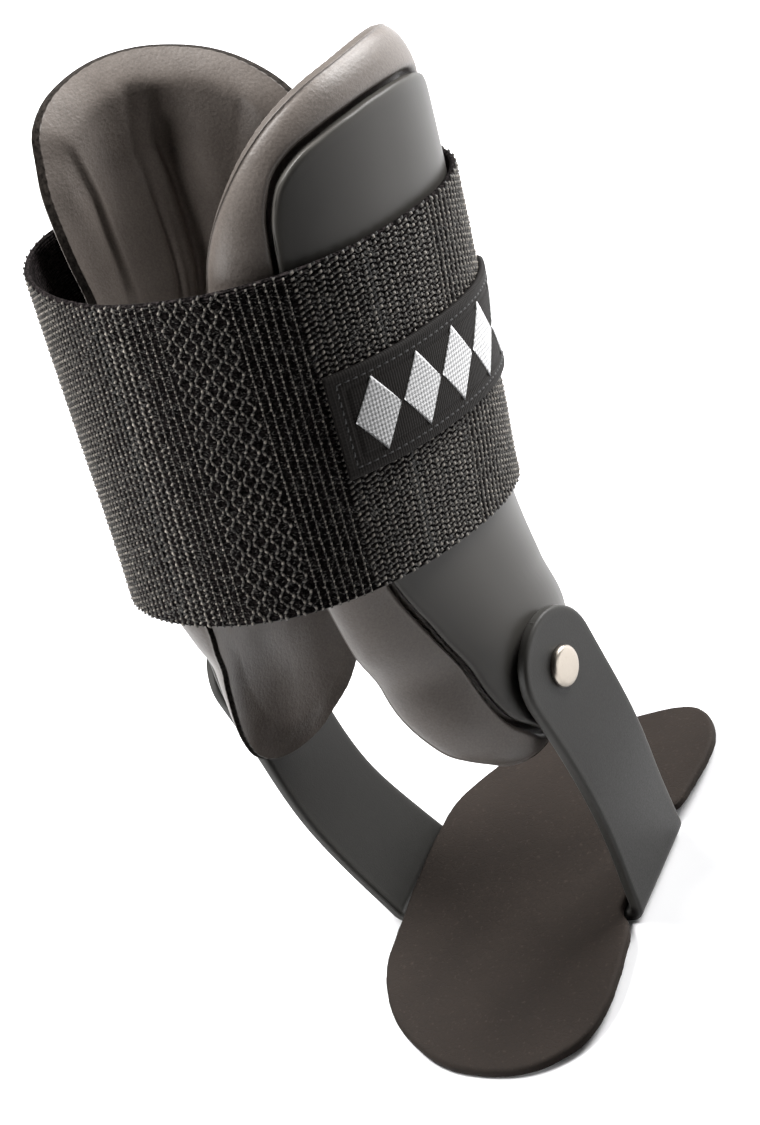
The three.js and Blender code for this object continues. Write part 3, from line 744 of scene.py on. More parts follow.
CENTRES = {"lateral": (0.0, 66.0), "medial": (12.0, 62.0)}
SHELL_NODE = {"lateral": "outer_shell", "medial": "inner_shell"}
PAD_NODE = {"lateral": "outer_pad", "medial": "inner_pad"}
PAD_EDGE_INSET = 6.2
LOW_FLARE = 4.0  # the inner pad's lower front edge stands out this much further
LOW_THINNING = 1.3  # and its rim is this much thinner there
FRONT_FADE, FLARE_FADE, THIN_FADE = (-22, 8), (6, 32), (42, 76)  # degrees, then heights
PAD_PROUD = 1.2
PAD_DEPTH = 12.6
BOLSTER_RISE = 12.0
TOP_ROUNDING = 9.0  # how far the face's rounding reaches in from a pad's top
POCKET_CLEAR = 0.6
POCKET_SLACK = [(-118, 1.5), (118, 0.9), (60, 0.7)]  # wider still near these bearings
SLACK_SPREAD = 28  # degrees to each side of them
POCKET_DEPTH = 3.15
POCKET_GROOVE = 5.4  # inset of the groove between the shell's edge and the foam
CUT_EDGE = 0.22  # radius of the pads' knife-cut edge
CUT_DARK = {"medial": 1.0, "lateral": 0.3}  # how dark and torn that edge is
CUT_REACH = 0.06
HIGH_PART = (112, 140)  # heights between which a face takes on the rounding of its top
ROLL = (0.8, 8.0, 4.0)  # height of the roll along a face's rim, its place and its width
HOLLOW = (0.7, 12.5, 16.5)  # depth of the hollow below the top roll, and where it starts and ends


def make_shells(sizes, colours):
    material = moulded_polypropylene(colours.shell)
    thick, edge = sizes.shell_thick / MM, sizes.shell_edge / MM
    insets = [0, 0.06, 0.2, 0.42, 0.7, 1.1, 1.7, 2.8, 4.5]
    for side, node in SHELL_NODE.items():
        outline = edge_outline(SHELL_EDGES[side], CENTRES[side])
        rings, near = inset_rings(outline, RIM_POINTS, insets, np.linspace(0.86, 0.02, 22))
        top = to_row(leg_point(side, rings, round_drop(near, edge)))
        bottom = to_row(leg_point(side, rings, thick - round_drop(near, 0.5)))
        verts, faces = ring_slab(top, bottom)
        piece(node + "_moulding", verts, faces, "upper", "shell_plastic", material, [node],
              {"edge": edge_values(stack_values(near, near))})


def channels(side, flat):
    """Depth of the moulded channels at points of the developed surface."""
    edges = np.array(PAD_EDGES[side], float)
    z = flat[..., 1]
    middle = between(z, edges[:, 0], edges[:, 1:].mean(1))
    degrees = np.degrees(flat[..., 0] / DEVELOPED_RADIUS)
    total = np.zeros(z.shape)
    for offset, low, high, depth, ahead, behind, ridge in CHANNELS:
        away = np.radians(degrees - middle - offset) * DEVELOPED_RADIUS
        ends = smoothstep(z, low, low + LOW_FADE) * (1 - smoothstep(z, high - HIGH_FADE, high))
        hollow = np.exp(-(away / np.where(away < 0, ahead, behind)) ** 2)
        total += ends * (depth * hollow - ridge * np.exp(-((away - 1.9 * behind) / behind) ** 2))
    return total


def rim_inset(side, flat):
    """Inset of a pad's rim at points of the developed surface, and how far the low front rim is thinned."""
    front = 1 - smoothstep(np.degrees(flat[..., 0] / DEVELOPED_RADIUS), *FRONT_FADE)
    if side == "lateral":
        front = 0 * front
    flare, thin = (1 - smoothstep(flat[..., 1], *fade) for fade in (FLARE_FADE, THIN_FADE))
    return PAD_EDGE_INSET - LOW_FLARE * front * flare, LOW_THINNING * front * thin


def make_pads(sizes, colours):
    material = foam_skin(colours.pad)
    rim_thick, lip, flange = sizes.pad_rim / MM, sizes.pad_lip / MM, sizes.pad_flange / MM
    insets = [0, 0.05, 0.12, 0.22, 0.5, 0.9, 1.5, 2.4, 3.4, 4.6, 6.0, 7.6, 9.4]
    flange_insets = np.array([0, 0.05, 0.12, 0.22, 0.5, 0.85, 1.1, 1.3, 1.45, 1.6, 1.8, 2.1, 2.6])
    crest = np.array([
        0.06, 0.14, 0.23, 0.33, 0.43, 0.53, 0.62, 0.7, 0.77, 0.83, 0.88, 0.92, 0.95, 0.97, 0.985, 1.0])[:, None]
    for side, node in PAD_NODE.items():
        outline = edge_outline(PAD_EDGES[side], CENTRES[side])
        hard = edge_outline(SHELL_EDGES[side], CENTRES[side])
        bearings = outline.bearings(PAD_RIM_POINTS)
        rim = outline.radius(bearings)
        slack = POCKET_CLEAR + sum(
            more * np.exp(-((np.degrees(bearings) - place) / SLACK_SPREAD) ** 2)
            for place, more in POCKET_SLACK)
        mouth = hard.radius(bearings) + slack
        foot = rim - flange_insets[-1]
        radii = np.vstack([rim - flange_insets[:, None], foot + (mouth - foot) * crest])
        outer = spread_rings(bearings, outline.centre, radii)
        near = outline.distance(outer)
        near[0] = 0
        rise = np.clip((near - flange) / (BOLSTER_RISE - flange), 0, 1)
        edge, _ = rim_inset(side, outer)
        crown = edge + (PAD_PROUD - edge) * (1 - (1 - rise) ** 2) ** 0.7
        inset = crown + round_drop(near, CUT_EDGE) + round_drop(radii - mouth, lip)
        pocket = spread_rings(bearings, outline.centre, np.vstack([
            mouth - 0.15, mouth - slack - 0.8, mouth * np.array([0.9, 0.6, 0.3, 0.06])[:, None]]))
        depths = np.array([POCKET_GROOVE, POCKET_GROOVE, *[POCKET_DEPTH] * 4])[:, None] + 0 * mouth
        top = np.concatenate([leg_point(side, outer, inset), leg_point(side, pocket, depths)])
        inner, near_in = inset_rings(outline, PAD_RIM_POINTS, insets, np.linspace(0.76, 0.03, 26))
        share = np.clip(near_in / (2 * BOLSTER_RISE), 0, 1)
        high = smoothstep(inner[..., 1], *HIGH_PART)
        quick = 1 - (1 - np.clip(near_in / TOP_ROUNDING, 0, 1)) ** 2
        eased = share * (1.5 - 0.5 * share ** 2) * (1 - high) + quick * high
        edge, thinned = rim_inset(side, inner)
        rear = edge + rim_thick - thinned
        deep = rear - round_drop(near_in, CUT_EDGE) + (PAD_DEPTH - rear) * eased
        deep += ROLL[0] * np.exp(-((near_in - ROLL[1]) / ROLL[2]) ** 2)
        deep -= HOLLOW[0] * high * smoothstep(near_in, *HOLLOW[1:])
        bottom = leg_point(side, inner, deep - channels(side, inner))
        verts, faces = ring_slab(to_row(top), to_row(bottom))
        cut = [np.where(distance < CUT_REACH, 1.0, 0.0) * CUT_DARK[side] for distance in (near, near_in)]
        cut[0] = np.vstack([cut[0], 0 * depths])
        made = piece(node + "_foam", verts, faces, "upper", "pad_foam", material, [node],
                     {"cut": stack_values(*cut)})


# Strap, label and their threads

WEBBING_CLEAR = 0.8
WEBBING_DEPTH = 47.0
WEBBING_FRONT = 1.1
WEBBING_CENTRE = -11.0


def loop_point(degrees, z, offset):
    """Point of the loop at an angle right round the leg: 0 outer side, 90 heel, 270 front."""
    turn = np.mod(degrees, 360)
    outer = (turn <= 90) | (turn >= 270)
    front = turn > 180
    sign = np.where(outer, 1, -1)
    angle = np.where(outer, np.where(front, turn - 360, turn), 180 - turn)
    half = np.where(outer, between(z, LEG[:, 0], LEG[:, 1]), between(z, LEG[:, 0], LEG[:, 2])) + offset
    depth = WEBBING_DEPTH + offset + np.where(front, WEBBING_FRONT, 0)
    heights, powers = zip(*FREE_SQUARENESS)
    power = np.where(front & ~outer, np.interp(z, heights, powers), SQUARENESS)
    return oval(sign, z, angle, half, depth, WEBBING_CENTRE, power)


class Loop:
    """The webbing's path round the leg, measured in millimetres from its outer side, heel positive."""

    def __init__(self, z, offset):
        degrees = np.linspace(-180, 180, 1441)
        line = loop_point(degrees, z, offset)
        steps = np.linalg.norm(np.diff(line, axis=0), axis=1)
        length = np.r_[0, np.cumsum(steps)]
        self.degrees = degrees
        self.length = length - np.interp(0, degrees, length)
        self.around = length[-1]

    def point(self, u, z, offset):
        turn = np.interp(u, self.length, self.degrees)
        return to_row(loop_point(turn, z, offset))


def axes_at(loop, u, z, offset, tilt):
    """Turns, as Euler angles, that lay an instance on the webbing with its y up the leg."""
    h = 0.4
    along = loop.point(u + h, z, offset) - loop.point(u - h, z, offset)
    up = loop.point(u, z + h, offset) - loop.point(u, z - h, offset)
    along /= np.linalg.norm(along, axis=-1, keepdims=True)
    out = np.cross(along, up)
    out /= np.linalg.norm(out, axis=-1, keepdims=True)
    up = np.cross(out, along)
    c, s = np.cos(tilt)[..., None], np.sin(tilt)[..., None]
    x, y = c * along + s * up, c * up - s * along
    return np.stack([np.arctan2(y[..., 2], out[..., 2]), -np.arcsin(np.clip(x[..., 2], -1, 1)),
                     np.arctan2(x[..., 1], x[..., 0])], -1)


def float_tree(name, facets):
    """Node tree that lays a small domed float on each point, turned and sized by its attributes."""
    tree = bpy.data.node_groups.new(name, "GeometryNodeTree")
    tree.interface.new_socket("Geometry", in_out="INPUT", socket_type="NodeSocketGeometry")
    for label in ("Width", "Length", "Height"):
        socket = tree.interface.new_socket(label, in_out="INPUT", socket_type="NodeSocketFloat")
        socket.subtype = "DISTANCE"
    tree.interface.new_socket("Finish", in_out="INPUT", socket_type="NodeSocketMaterial")
    tree.interface.new_socket("Geometry", in_out="OUTPUT", socket_type="NodeSocketGeometry")
    given = add(tree, "NodeGroupInput").outputs
    patch = add(tree, "GeometryNodeMeshGrid", {
        "Size X": 1.0, "Size Y": 1.0, "Vertices X": facets[0] + 1, "Vertices Y": facets[1] + 1})
    split = add(tree, "ShaderNodeSeparateXYZ", {0: add(tree, "GeometryNodeInputPosition").outputs[0]}).outputs
    domes = [maths(tree, "COSINE", maths(tree, "MULTIPLY", split[axis], math.pi)) for axis in ("X", "Y")]
    eased = maths(tree, "POWER", maths(tree, "MULTIPLY", *domes), 0.6)
    size = [maths(tree, "MULTIPLY", value, given[label])
            for value, label in ((split["X"], "Width"), (split["Y"], "Length"), (eased, "Height"))]
    # crest: each float's dome height, which the thread finish uses to paint shade at the float's foot
    kept = add(tree, "GeometryNodeStoreNamedAttribute", {
        "Geometry": patch.outputs["Mesh"], "Name": "crest", "Value": eased}, data_type="FLOAT", domain="POINT")
    shaped = add(tree, "GeometryNodeSetPosition", {
        "Geometry": kept.outputs[0],
        "Position": add(tree, "ShaderNodeCombineXYZ", {0: size[0], 1: size[1], 2: size[2]}).outputs[0]})
    turn, size = (
        add(tree, "GeometryNodeInputNamedAttribute", {"Name": label}, data_type="FLOAT_VECTOR").outputs[0]
        for label in ("turn", "size"))
    turned = add(tree, "FunctionNodeEulerToRotation", {0: turn})
    laid = add(tree, "GeometryNodeInstanceOnPoints", {
        "Points": given["Geometry"], "Instance": shaped.outputs[0],
        "Rotation": turned.outputs[0], "Scale": size})
    real = add(tree, "GeometryNodeRealizeInstances", {0: laid.outputs[0]})
    smooth = add(tree, "GeometryNodeSetShadeSmooth", {0: real.outputs[0]})
    finished = add(tree, "GeometryNodeSetMaterial", {
        "Geometry": smooth.outputs[0], "Material": given["Finish"]})
    add(tree, "NodeGroupOutput", {0: finished.outputs[0]})
    return tree


def lay_floats(name, tree, loop, u, z, offset, sink, tilt, scales, tones, sizes_mm, material):
    """A piece of many small floats, each turned by its tilt in degrees and sunk into the webbing's face."""
    points = loop.point(u, z, offset - sink)
    turns = axes_at(loop, u, z, offset, np.radians(tilt))
    cloud = bpy.data.meshes.new(name + "_points")
    cloud.from_pydata((points * MM).tolist(), [], [])
    for label, values in (("turn", turns), ("size", scales)):
        cloud.attributes.new(label, "FLOAT_VECTOR", "POINT").data.foreach_set(
            "vector", np.asarray(values, np.float32).ravel())
    cloud.attributes.new("tone", "FLOAT", "POINT").data.foreach_set(
        "value", np.broadcast_to(np.asarray(tones, np.float32), (len(points),)).copy())
    holder = link(bpy.data.objects.new(name + "_holder", cloud))
    modifier = holder.modifiers.new("floats", "NODES")
    modifier.node_group = tree
    inputs = {item.name: item.identifier for item in tree.interface.items_tree
              if item.item_type == "SOCKET" and item.in_out == "INPUT"}
    for label, value in zip(("Width", "Length", "Height"), sizes_mm):
        modifier[inputs[label]] = value * MM
    modifier[inputs["Finish"]] = material
    shown = holder.evaluated_get(bpy.context.evaluated_depsgraph_get())
    mesh = bpy.data.meshes.new_from_object(shown)
    mesh.name = name
    for label in ("turn", "size"):
        if label in mesh.attributes:
            mesh.attributes.remove(mesh.attributes[label])
    bpy.data.objects.remove(holder)
    return settle(bpy.data.objects.new(name, mesh), "upper", material)


# Weaves round the loop, in millimetres from its outer side: start, end, kind
WEAVES = [
    (-300, -85, "coarse"), (-85, -75, "twill"), (-75, -67, "ribs"), (-67, -49, "rings"),
    (-49, -36, "ribs"), (-36, 5, "plain"), (5, 45, "cords"), (45, 62, "plain"), (62, 74, "ribs"),
    (74, 92, "rings"), (92, 102, "twill"), (102, 300, "coarse"),
]
# How each weave lays its knots and the yarn between them: width, length and tilt of a knot,
# then width, length and tone of the yarn
KNOTS = {
    "plain": (1.2, 0.9, 10, 0.7, 1.0, 0.2), "cords": (0.8, 1.15, -14, 0.7, 1.0, 0.2),
    "coarse": (0.66, 1.0, -14, 0.8, 0.8, 0.16), "ribs": (0.7, 0.8, 0, 0.46, 1.1, 0.42),
    "rings": (0.8, 1.15, 0, 0.6, 1.0, 0.3), "twill": (0.7, 1.4, 45, 0.5, 0.9, 0.2),
}
OVERHANG = 0.15  # how far the knots overhang the ground's edges
MARGIN = 0.6  # from the strap's edge to the middle of its first knots
THREAD_SINK = 0.06  # how deep a thread's foot lies in the ground
SEAM_SINK, SEAM_WIDTH = 0.45, 1.0
RING_REACH = 0.25  # how far the yarn of the ring weave wanders, in columns
SEAMS = [(-16.0, 42.5, 117.5), (-85.0, 42.5, 117.5)]  # place round the loop, bottom and top


def weave_of(u):
    kinds = np.full(u.shape, "plain", dtype=object)
    for start, end, kind in WEAVES:
        kinds[(u >= start) & (u < end)] = kind
    return kinds


def make_strap(sizes, colours):
    low, high, thick = (v / MM for v in (sizes.webbing_low, sizes.webbing_high, sizes.webbing_thick))
    loop = Loop((low + high) / 2, WEBBING_CLEAR + thick)
    ground = thick - 0.55
    radius = ground / 2
    low, high = low + OVERHANG, high - OVERHANG
    rows = np.linspace(low + radius, high - radius, 41)
    turn = np.radians(np.linspace(-90, 90, 9))
    face = WEBBING_CLEAR + ground
    z = np.r_[rows, high - radius + radius * np.cos(turn[::-1]), rows[::-1],
              low + radius - radius * np.cos(turn)]
    offset = np.r_[np.full(41, face), face - radius + radius * np.sin(turn[::-1]), np.full(41, WEBBING_CLEAR),
                   face - radius + radius * np.sin(turn)]
    u = np.linspace(loop.length[0], loop.length[-1], 460, endpoint=False)
    sink = np.zeros((len(u), len(z)))
    for place, bottom, top in SEAMS:
        sink += (SEAM_SINK * np.exp(-((u[:, None] - place) / SEAM_WIDTH) ** 2)
                 * ((z > bottom) & (z < top) & (offset > face - 0.01))[None])
    grid = loop.point(u[:, None], z[None], offset[None] - sink)
    uv = np.stack(np.broadcast_arrays(u[:, None] * MM, z[None] * MM), -1)
    piece("calf_strap_ground", grid.reshape(-1, 3), grid_faces(len(u), len(z), True, True), "upper",
          "strap_webbing", webbing_ground(colours.webbing_ground), ["calf_strap"], None, uv)

    low, high = low - OVERHANG, high + OVERHANG
    step = sizes.row_pitch / MM
    columns = 2 * int(round(loop.around / sizes.column_pitch * MM / 2))
    pitch = loop.around / columns
    count = int((high - low) / step)
    i, j = (m.ravel() for m in np.meshgrid(np.arange(columns), np.arange(count), indexing="ij"))
    z = low + MARGIN + (j + 0.5 * (i % 2)) * (high - low - 2 * MARGIN - 0.5 * step) / (count - 1)
    column = loop.length[0] + (i + 0.5) * pitch
    kinds = weave_of(column)
    table = {kind: np.array(row) for kind, row in KNOTS.items()}
    wide, long, tilt, yarn_wide, yarn_long, yarn_tone = np.array([table[kind] for kind in kinds]).T
    rings = kinds == "rings"
    random = np.random.default_rng(7)

    def wander(z):
        """How far a column's yarn strays at a height, and the slope of its path."""
        phase = 2 * math.pi * z / (3 * step) + math.pi * (i % 2)
        reach = np.where(rings, RING_REACH * pitch, 0)
        slope = reach * np.cos(phase) * 2 * math.pi / (3 * step)
        return reach * np.sin(phase), -np.degrees(np.arctan(slope))

    away, turn = wander(z)
    u = column + away + random.normal(0, 0.08, len(z))
    tilt = np.where((kinds == "twill") & (i % 2 == 1), -tilt, tilt) + turn + random.normal(0, 8, len(z))
    tone = np.clip(random.normal(0.55, 0.2, len(z)), 0, 1)
    tone *= np.where(rings, 0.35 + 0.6 * np.abs(away) / (RING_REACH * pitch), 1)
    # painted shade: columns from 25 mm in front of the outer side round past the heel are a quarter darker,
    # fading in from 50 mm in front
    tone *= np.interp(column, [-50, -25], [1, 0.75])
    tall = random.normal(1.0, 0.08, len(z))
    # painted shade: knots beside a seam are flattened and painted near black, the shade of the seam's crease
    for place, bottom, top in SEAMS:
        close = (np.abs(u - place) < 0.6) & (z > bottom) & (z < top)
        tall, tone = np.where(close, 0.2, tall), np.where(close, 0.05, tone)
    tree = float_tree("thread_floats", (3, 3))
    yarn = webbing_thread("webbing_yarn", colours.webbing_thread)
    wide, long = wide * random.normal(1, 0.08, len(z)), long * random.normal(1, 0.08, len(z))
    lay_floats("calf_strap_knots", tree, loop, u, z, face, THREAD_SINK, tilt,
               np.stack([wide, long, tall], 1), tone, (1.0, 1.0, 0.55), yarn)

    level = kinds == "plain"
    z = np.where(level, z - 0.25 * step * np.where(i % 2 == 0, 1, -1), z - 0.5 * step)
    z = np.maximum(z, low + MARGIN)
    away, turn = wander(z)
    u = column + away + np.where(level, 0.5 * pitch, 0)
    turn = turn + np.where(level, 90 - 19 * np.where(i % 2 == 0, 1, -1), 0) + np.where(kinds == "twill", 45, 0)
    cross = float_tree("yarn_between", (2, 2))
    lay_floats("calf_strap_yarn", cross, loop, u, z, face, THREAD_SINK, turn + random.normal(0, 5, len(z)),
               np.stack([yarn_wide, yarn_long, random.normal(1, 0.08, len(z))], 1),
               yarn_tone * np.clip(random.normal(0.6, 0.2, len(z)), 0, 1), (1.0, 1.0, 0.4),
               yarn)

    short = float_tree("ground_strokes", (2, 2))
    twice = np.arange(2 * columns * count) % 2
    u = np.repeat(column, 2) + pitch * (0.32 + 0.36 * twice) + random.normal(0, 0.12, len(twice))
    z = low + 0.8 + random.uniform(0, 1, len(twice)) * (high - low - 1.6)
    lean = random.choice([-1, 1], len(twice)) * random.uniform(35, 85, len(twice))
    lay_floats("calf_strap_strokes", short, loop, u, z, face, THREAD_SINK, lean,
               np.stack([random.normal(0.34, 0.04, len(z)), random.normal(0.9, 0.1, len(z)),
                         random.normal(1, 0.1, len(z))], 1),
               random.uniform(0.0, 0.2, len(z)), (1.0, 1.0, 0.3), yarn)

    stitches = [(place, height) for place, bottom, top in SEAMS
                for height in np.arange(bottom + 1.5, top - 1, sizes.stitch_pitch / MM)]
    u, z = (np.array(v) for v in zip(*stitches))
    lay_floats("calf_strap_seams", tree, loop, u, z, face, 0.25, 0 * u,
               np.ones((len(u), 3)), 0.5, (0.55, 2.2, 0.4),
               webbing_thread("seam_thread", shade(colours.webbing_thread, 0.02)))


LABEL_LOW, LABEL_HIGH = 68.0, 93.5
LOZENGE_HALF = (6.3, 9.2)  # half width and half height
LOZENGE_PITCH = 13.4
LABEL_FRONT, LABEL_REAR = -41.0, 48.0
LABEL_THICK = 0.9
LABEL_GAP = 0.3
BORDER = 2.5


def patch(loop, name, outline_u, outline_z, inner, outer, material):
    """A thin closed patch over the webbing, from a grid of places to two offsets, with a soft edge."""
    top = loop.point(outline_u, outline_z, outer)
    low = loop.point(outline_u, outline_z, inner)
    places = np.stack([outline_u, outline_z], -1) * MM
    uv = np.concatenate([places, places[:, ::-1]], 1)
    return piece(name, *capped_loop(top, low), "upper", "label_cloth", material, uv=uv)


def make_label(sizes, colours):
    low, high, thick = (v / MM for v in (sizes.webbing_low, sizes.webbing_high, sizes.webbing_thick))
    loop = Loop((low + high) / 2, WEBBING_CLEAR + thick)
    start, end = np.interp([LABEL_FRONT, LABEL_REAR], loop.degrees, loop.length)
    base = WEBBING_CLEAR + thick
    top = base + LABEL_GAP + LABEL_THICK
    u = np.linspace(start, end, 160)
    z = np.linspace(LABEL_LOW, LABEL_HIGH, 52)
    uu, zz = np.meshgrid(u, z, indexing="ij")
    near = np.minimum(np.minimum(uu - start, end - uu), np.minimum(zz - LABEL_LOW, LABEL_HIGH - zz))
    fold = 0.35 * np.exp(-((near - 4.4) / 0.5) ** 2) + 0.22 * np.exp(-((near - BORDER) / 0.5) ** 2)
    drop = round_drop(near, 0.7) + fold * (near > 0.8)
    cloth = woven_cloth("damask_label", colours.label, 0.7, 0.75, 0.5)
    body = patch(loop, "label_ground", uu, zz, base - 0.2, top - drop, cloth)
    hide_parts("label")

    step = sizes.stitch_pitch / MM * 0.8
    sides = [(place, height, 90.0) for height in (LABEL_LOW + BORDER, LABEL_HIGH - BORDER)
             for place in np.arange(start + BORDER + 0.6, end - BORDER, step)]
    sides += [(place, height, 0.0) for place in (start + BORDER, end - BORDER)
              for height in np.arange(LABEL_LOW + BORDER + 1.2, LABEL_HIGH - BORDER, step)]
    u, z, tilt = (np.array(v) for v in zip(*sides))
    trims = [lay_floats("label_stitching", float_tree("label_stitches", (3, 3)), loop, u, z, top, 0.32, tilt,
                        np.ones((len(u), 3)), 0.5, (0.6, 1.8, 0.42),
                        webbing_thread("label_thread", shade(colours.webbing_thread, 0.015)))]

    white = woven_cloth("damask_motif", colours.motif, 0.9, 0.6, 0.06)
    middle = (LABEL_LOW + LABEL_HIGH) / 2
    share = np.linspace(-1, 1, 25)
    for index, centre in enumerate(np.arange(start + 11.0, end - 9.0, LOZENGE_PITCH)):
        uu = centre + LOZENGE_HALF[0] * np.outer(share, np.ones_like(share))
        zz = middle + LOZENGE_HALF[1] * np.outer(1 - np.abs(share) * 0.999, share)
        near = 1 - np.abs(share)[None] + 0 * uu
        trims.append(patch(
            loop, f"label_lozenge_{index}", uu, zz, top - 0.15, top + 0.16 - 0.1 * (near < 0.05), white))


# Rivets


def make_rivets(sizes, colours):
    material = nickel_plate(colours.rivet)
    radius = sizes.rivet_radius / MM
    thick = sizes.strap_thick / MM
    angles = np.linspace(0, 2 * math.pi, 96, endpoint=False)
    for side, node in (("lateral", "outer_rivet"), ("medial", "inner_rivet")):
        sign = SIGN[side]
        foot = ARMS[side]["inner"] + thick - 0.05
        tail = LEG[0, 1 if side == "lateral" else 2] - sizes.shell_thick / MM - 0.6
        profile = [
            (0.05, tail - 1), (3.7, tail - 1), (4, tail - 0.7), (4, tail), (2.5, tail), (2.5, foot),
            (radius - 0.15, foot), (radius, foot + 0.2), (radius, foot + 1.0), (radius - 0.12, foot + 1.25),
            (radius - 0.35, foot + 1.5), (radius - 0.75, foot + 1.72), (radius - 1.2, foot + 1.82),
            (radius - 2.4, foot + 1.86), (0.05, foot + 1.88),
        ]
        rings = np.array([
            [(sign * x, r * math.cos(a), HINGE_HEIGHT + r * math.sin(a)) for a in angles] for r, x in profile])
        faces = grid_faces(len(profile), len(angles), closed_columns=True)
        count = len(angles)
        faces += [list(range(count))[::-1], list(range((len(profile) - 1) * count, len(profile) * count))]
        piece(node + "_turned", rings.reshape(-1, 3), faces, "lower", "rivet_metal", material, [node])


# Stage

CAMERA_PLACE = (0.706112, -0.623541, 0.765908)
CAMERA_RIGHT = (0.792792, 0.42305, -0.438759)
CAMERA_UP = (-0.002263, 0.721915, 0.691978)
CAMERA_LENS = 155.53
SENSOR = 36.0
# Softboxes: place and size in metres, and watts
SOFTBOXES = [
    {"name": "key", "place": (0.55, 1.25, 0.8), "size": (0.9, 0.9), "power": 54.0},
    {"name": "left", "place": (-0.85, -1.15, 0.3), "size": (0.5, 0.8), "power": 13.0},
    {"name": "side", "place": (1.4, 0.1, 0.25), "size": (0.6, 0.5), "power": 2.5},
    {"name": "top", "place": (-0.45, 0.15, 1.4), "size": (0.6, 0.6), "power": 42.0},
]
FLOOR_REACH = 1.5
WORLD_STRENGTH = 0.015
BACKDROP_STRENGTH = 1.0
AIM = Vector((0.0, 0.01, 0.12))


def make_stage(_, colours):
    bpy.context.scene.view_settings.view_transform = "Standard"
    floor = bpy.data.meshes.new("floor")
    corners = [(-1, -1), (1, -1), (1, 1), (-1, 1)]
    floor.from_pydata([(x * FLOOR_REACH, y * FLOOR_REACH, 0) for x, y in corners], [], [(0, 1, 2, 3)])
    plane = link(bpy.data.objects.new("floor", floor))
    floor.materials.append(studio_paper(colours.floor))
    plane.location.z = -0.0002
    plane.visible_diffuse = False  # the floor shows in gloss, but throws no soft light back up

    world = bpy.data.worlds.new("studio")
    bpy.context.scene.world = world
    world.use_nodes = True
    world.node_tree.nodes.clear()
    seen = add(world.node_tree, "ShaderNodeLightPath").outputs["Is Camera Ray"]
    strength = add(world.node_tree, "ShaderNodeMapRange", {
        "Value": seen, "To Min": WORLD_STRENGTH, "To Max": BACKDROP_STRENGTH}).outputs[0]
    sky = add(world.node_tree, "ShaderNodeBackground", {"Color": (1.0, 1.0, 1.0, 1.0), "Strength": strength})
    add(world.node_tree, "ShaderNodeOutputWorld", {"Surface": sky.outputs[0]})
    for box in SOFTBOXES:
        light = bpy.data.lights.new(box["name"], "AREA")
        light.shape = "RECTANGLE"
        light.size, light.size_y = box["size"]
        light.energy = box["power"]
        lamp = link(bpy.data.objects.new(box["name"], light))
        lamp.location = box["place"]
        lamp.rotation_euler = (AIM - lamp.location).to_track_quat("-Z", "Y").to_euler()

    camera = bpy.data.cameras.new("camera")
    camera.lens, camera.sensor_width, camera.sensor_fit = CAMERA_LENS, SENSOR, "AUTO"
    holder = link(bpy.data.objects.new("camera", camera))
    right, up = Vector(CAMERA_RIGHT), Vector(CAMERA_UP)
    turn = Matrix((right, up, right.cross(up))).transposed()
    holder.matrix_world = Matrix.Translation(CAMERA_PLACE) @ turn.to_4x4()
    bpy.context.scene.camera = holder


# Add-on


def run(make, context):
    make(context.scene.brace_sizes, context.scene.brace_colours)
    return {"FINISHED"}


class BRACE_OT_stirrup(bpy.types.Operator):
    """Make the U-shaped stirrup"""

    bl_idname = "brace.stirrup"
    bl_label = "Stirrup"
    bl_options = {"REGISTER", "UNDO"}

    def execute(self, context):
        return run(make_stirrup, context)


class BRACE_OT_plate(bpy.types.Operator):
    """Make the foot plate"""

    bl_idname = "brace.plate"
    bl_label = "Foot Plate"
    bl_options = {"REGISTER", "UNDO"}

    def execute(self, context):
        return run(make_plate, context)


class BRACE_OT_shells(bpy.types.Operator):
    """Make the two hard side shells"""

    bl_idname = "brace.shells"
    bl_label = "Side Shells"
    bl_options = {"REGISTER", "UNDO"}

    def execute(self, context):
        return run(make_shells, context)


class BRACE_OT_pads(bpy.types.Operator):
    """Make the two foam pads"""

    bl_idname = "brace.pads"
    bl_label = "Foam Pads"
    bl_options = {"REGISTER", "UNDO"}

    def execute(self, context):
        return run(make_pads, context)


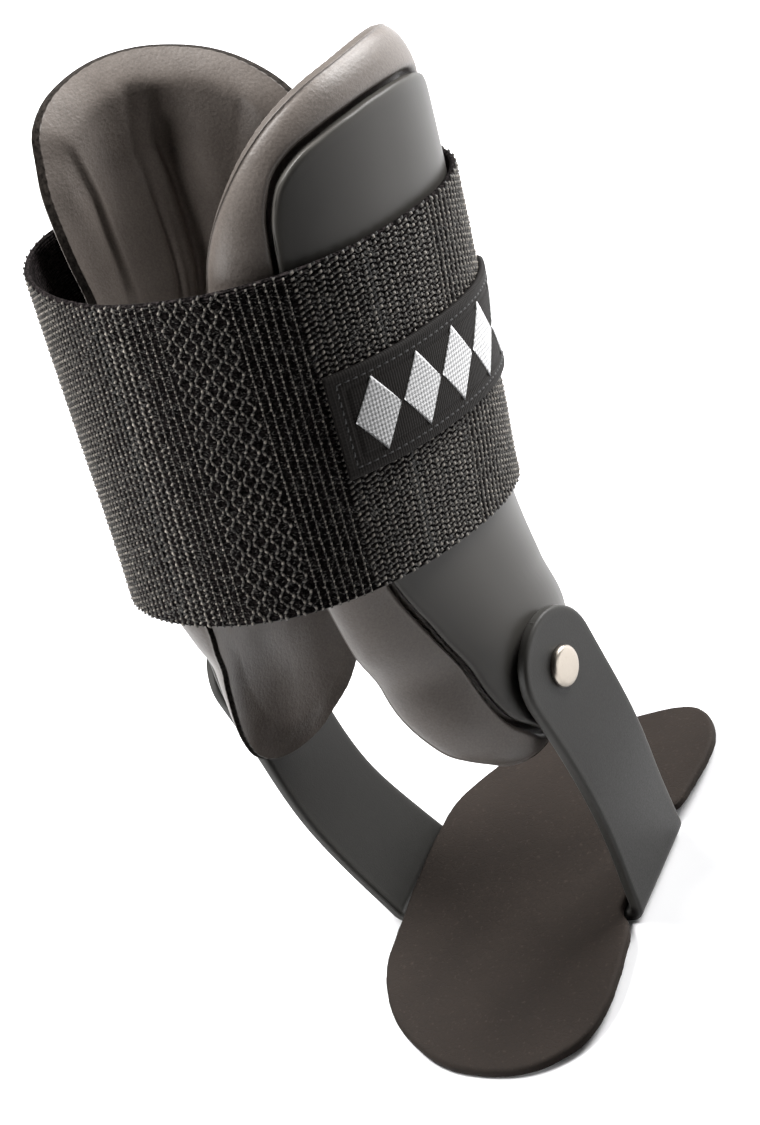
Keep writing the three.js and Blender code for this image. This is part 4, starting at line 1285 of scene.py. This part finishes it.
class BRACE_OT_strap(bpy.types.Operator):
    """Make the woven strap with its threads"""

    bl_idname = "brace.strap"
    bl_label = "Webbing Strap"
    bl_options = {"REGISTER", "UNDO"}

    def execute(self, context):
        return run(make_strap, context)


class BRACE_OT_label(bpy.types.Operator):
    """Make the sewn label and its ornament"""

    bl_idname = "brace.label"
    bl_label = "Label"
    bl_options = {"REGISTER", "UNDO"}

    def execute(self, context):
        return run(make_label, context)


class BRACE_OT_rivets(bpy.types.Operator):
    """Make the two rivets"""

    bl_idname = "brace.rivets"
    bl_label = "Rivets"
    bl_options = {"REGISTER", "UNDO"}

    def execute(self, context):
        return run(make_rivets, context)


class BRACE_OT_stage(bpy.types.Operator):
    """Make the floor, the lights and the camera"""

    bl_idname = "brace.stage"
    bl_label = "Stage"
    bl_options = {"REGISTER", "UNDO"}

    def execute(self, context):
        return run(make_stage, context)


OPERATORS = (
    BRACE_OT_stirrup, BRACE_OT_plate, BRACE_OT_rivets, BRACE_OT_shells, BRACE_OT_pads,
    BRACE_OT_strap, BRACE_OT_label, BRACE_OT_stage,
)


class BRACE_PT_panel(bpy.types.Panel):
    """Lists the brace's pieces, sizes and colours"""

    bl_idname = "BRACE_PT_panel"
    bl_label = "Ankle Brace"
    bl_space_type = "VIEW_3D"
    bl_region_type = "UI"
    bl_category = "Ankle Brace"

    def draw(self, context):
        for operator in OPERATORS:
            self.layout.operator(operator.bl_idname)
        for group in (context.scene.brace_sizes, context.scene.brace_colours):
            column = self.layout.column()
            for name in group.__annotations__:
                column.prop(group, name)


CLASSES = (BraceSizes, BraceColours, *OPERATORS, BRACE_PT_panel)


def register():
    for cls in CLASSES:
        bpy.utils.register_class(cls)
    bpy.types.Scene.brace_sizes = bpy.props.PointerProperty(type=BraceSizes)
    bpy.types.Scene.brace_colours = bpy.props.PointerProperty(type=BraceColours)


def unregister():
    del bpy.types.Scene.brace_sizes, bpy.types.Scene.brace_colours
    for cls in reversed(CLASSES):
        bpy.utils.unregister_class(cls)


def main():
    register()
    for operator in OPERATORS:
        group, name = operator.bl_idname.split(".")
        getattr(getattr(bpy.ops, group), name)()


if __name__ == "__main__":
    main()
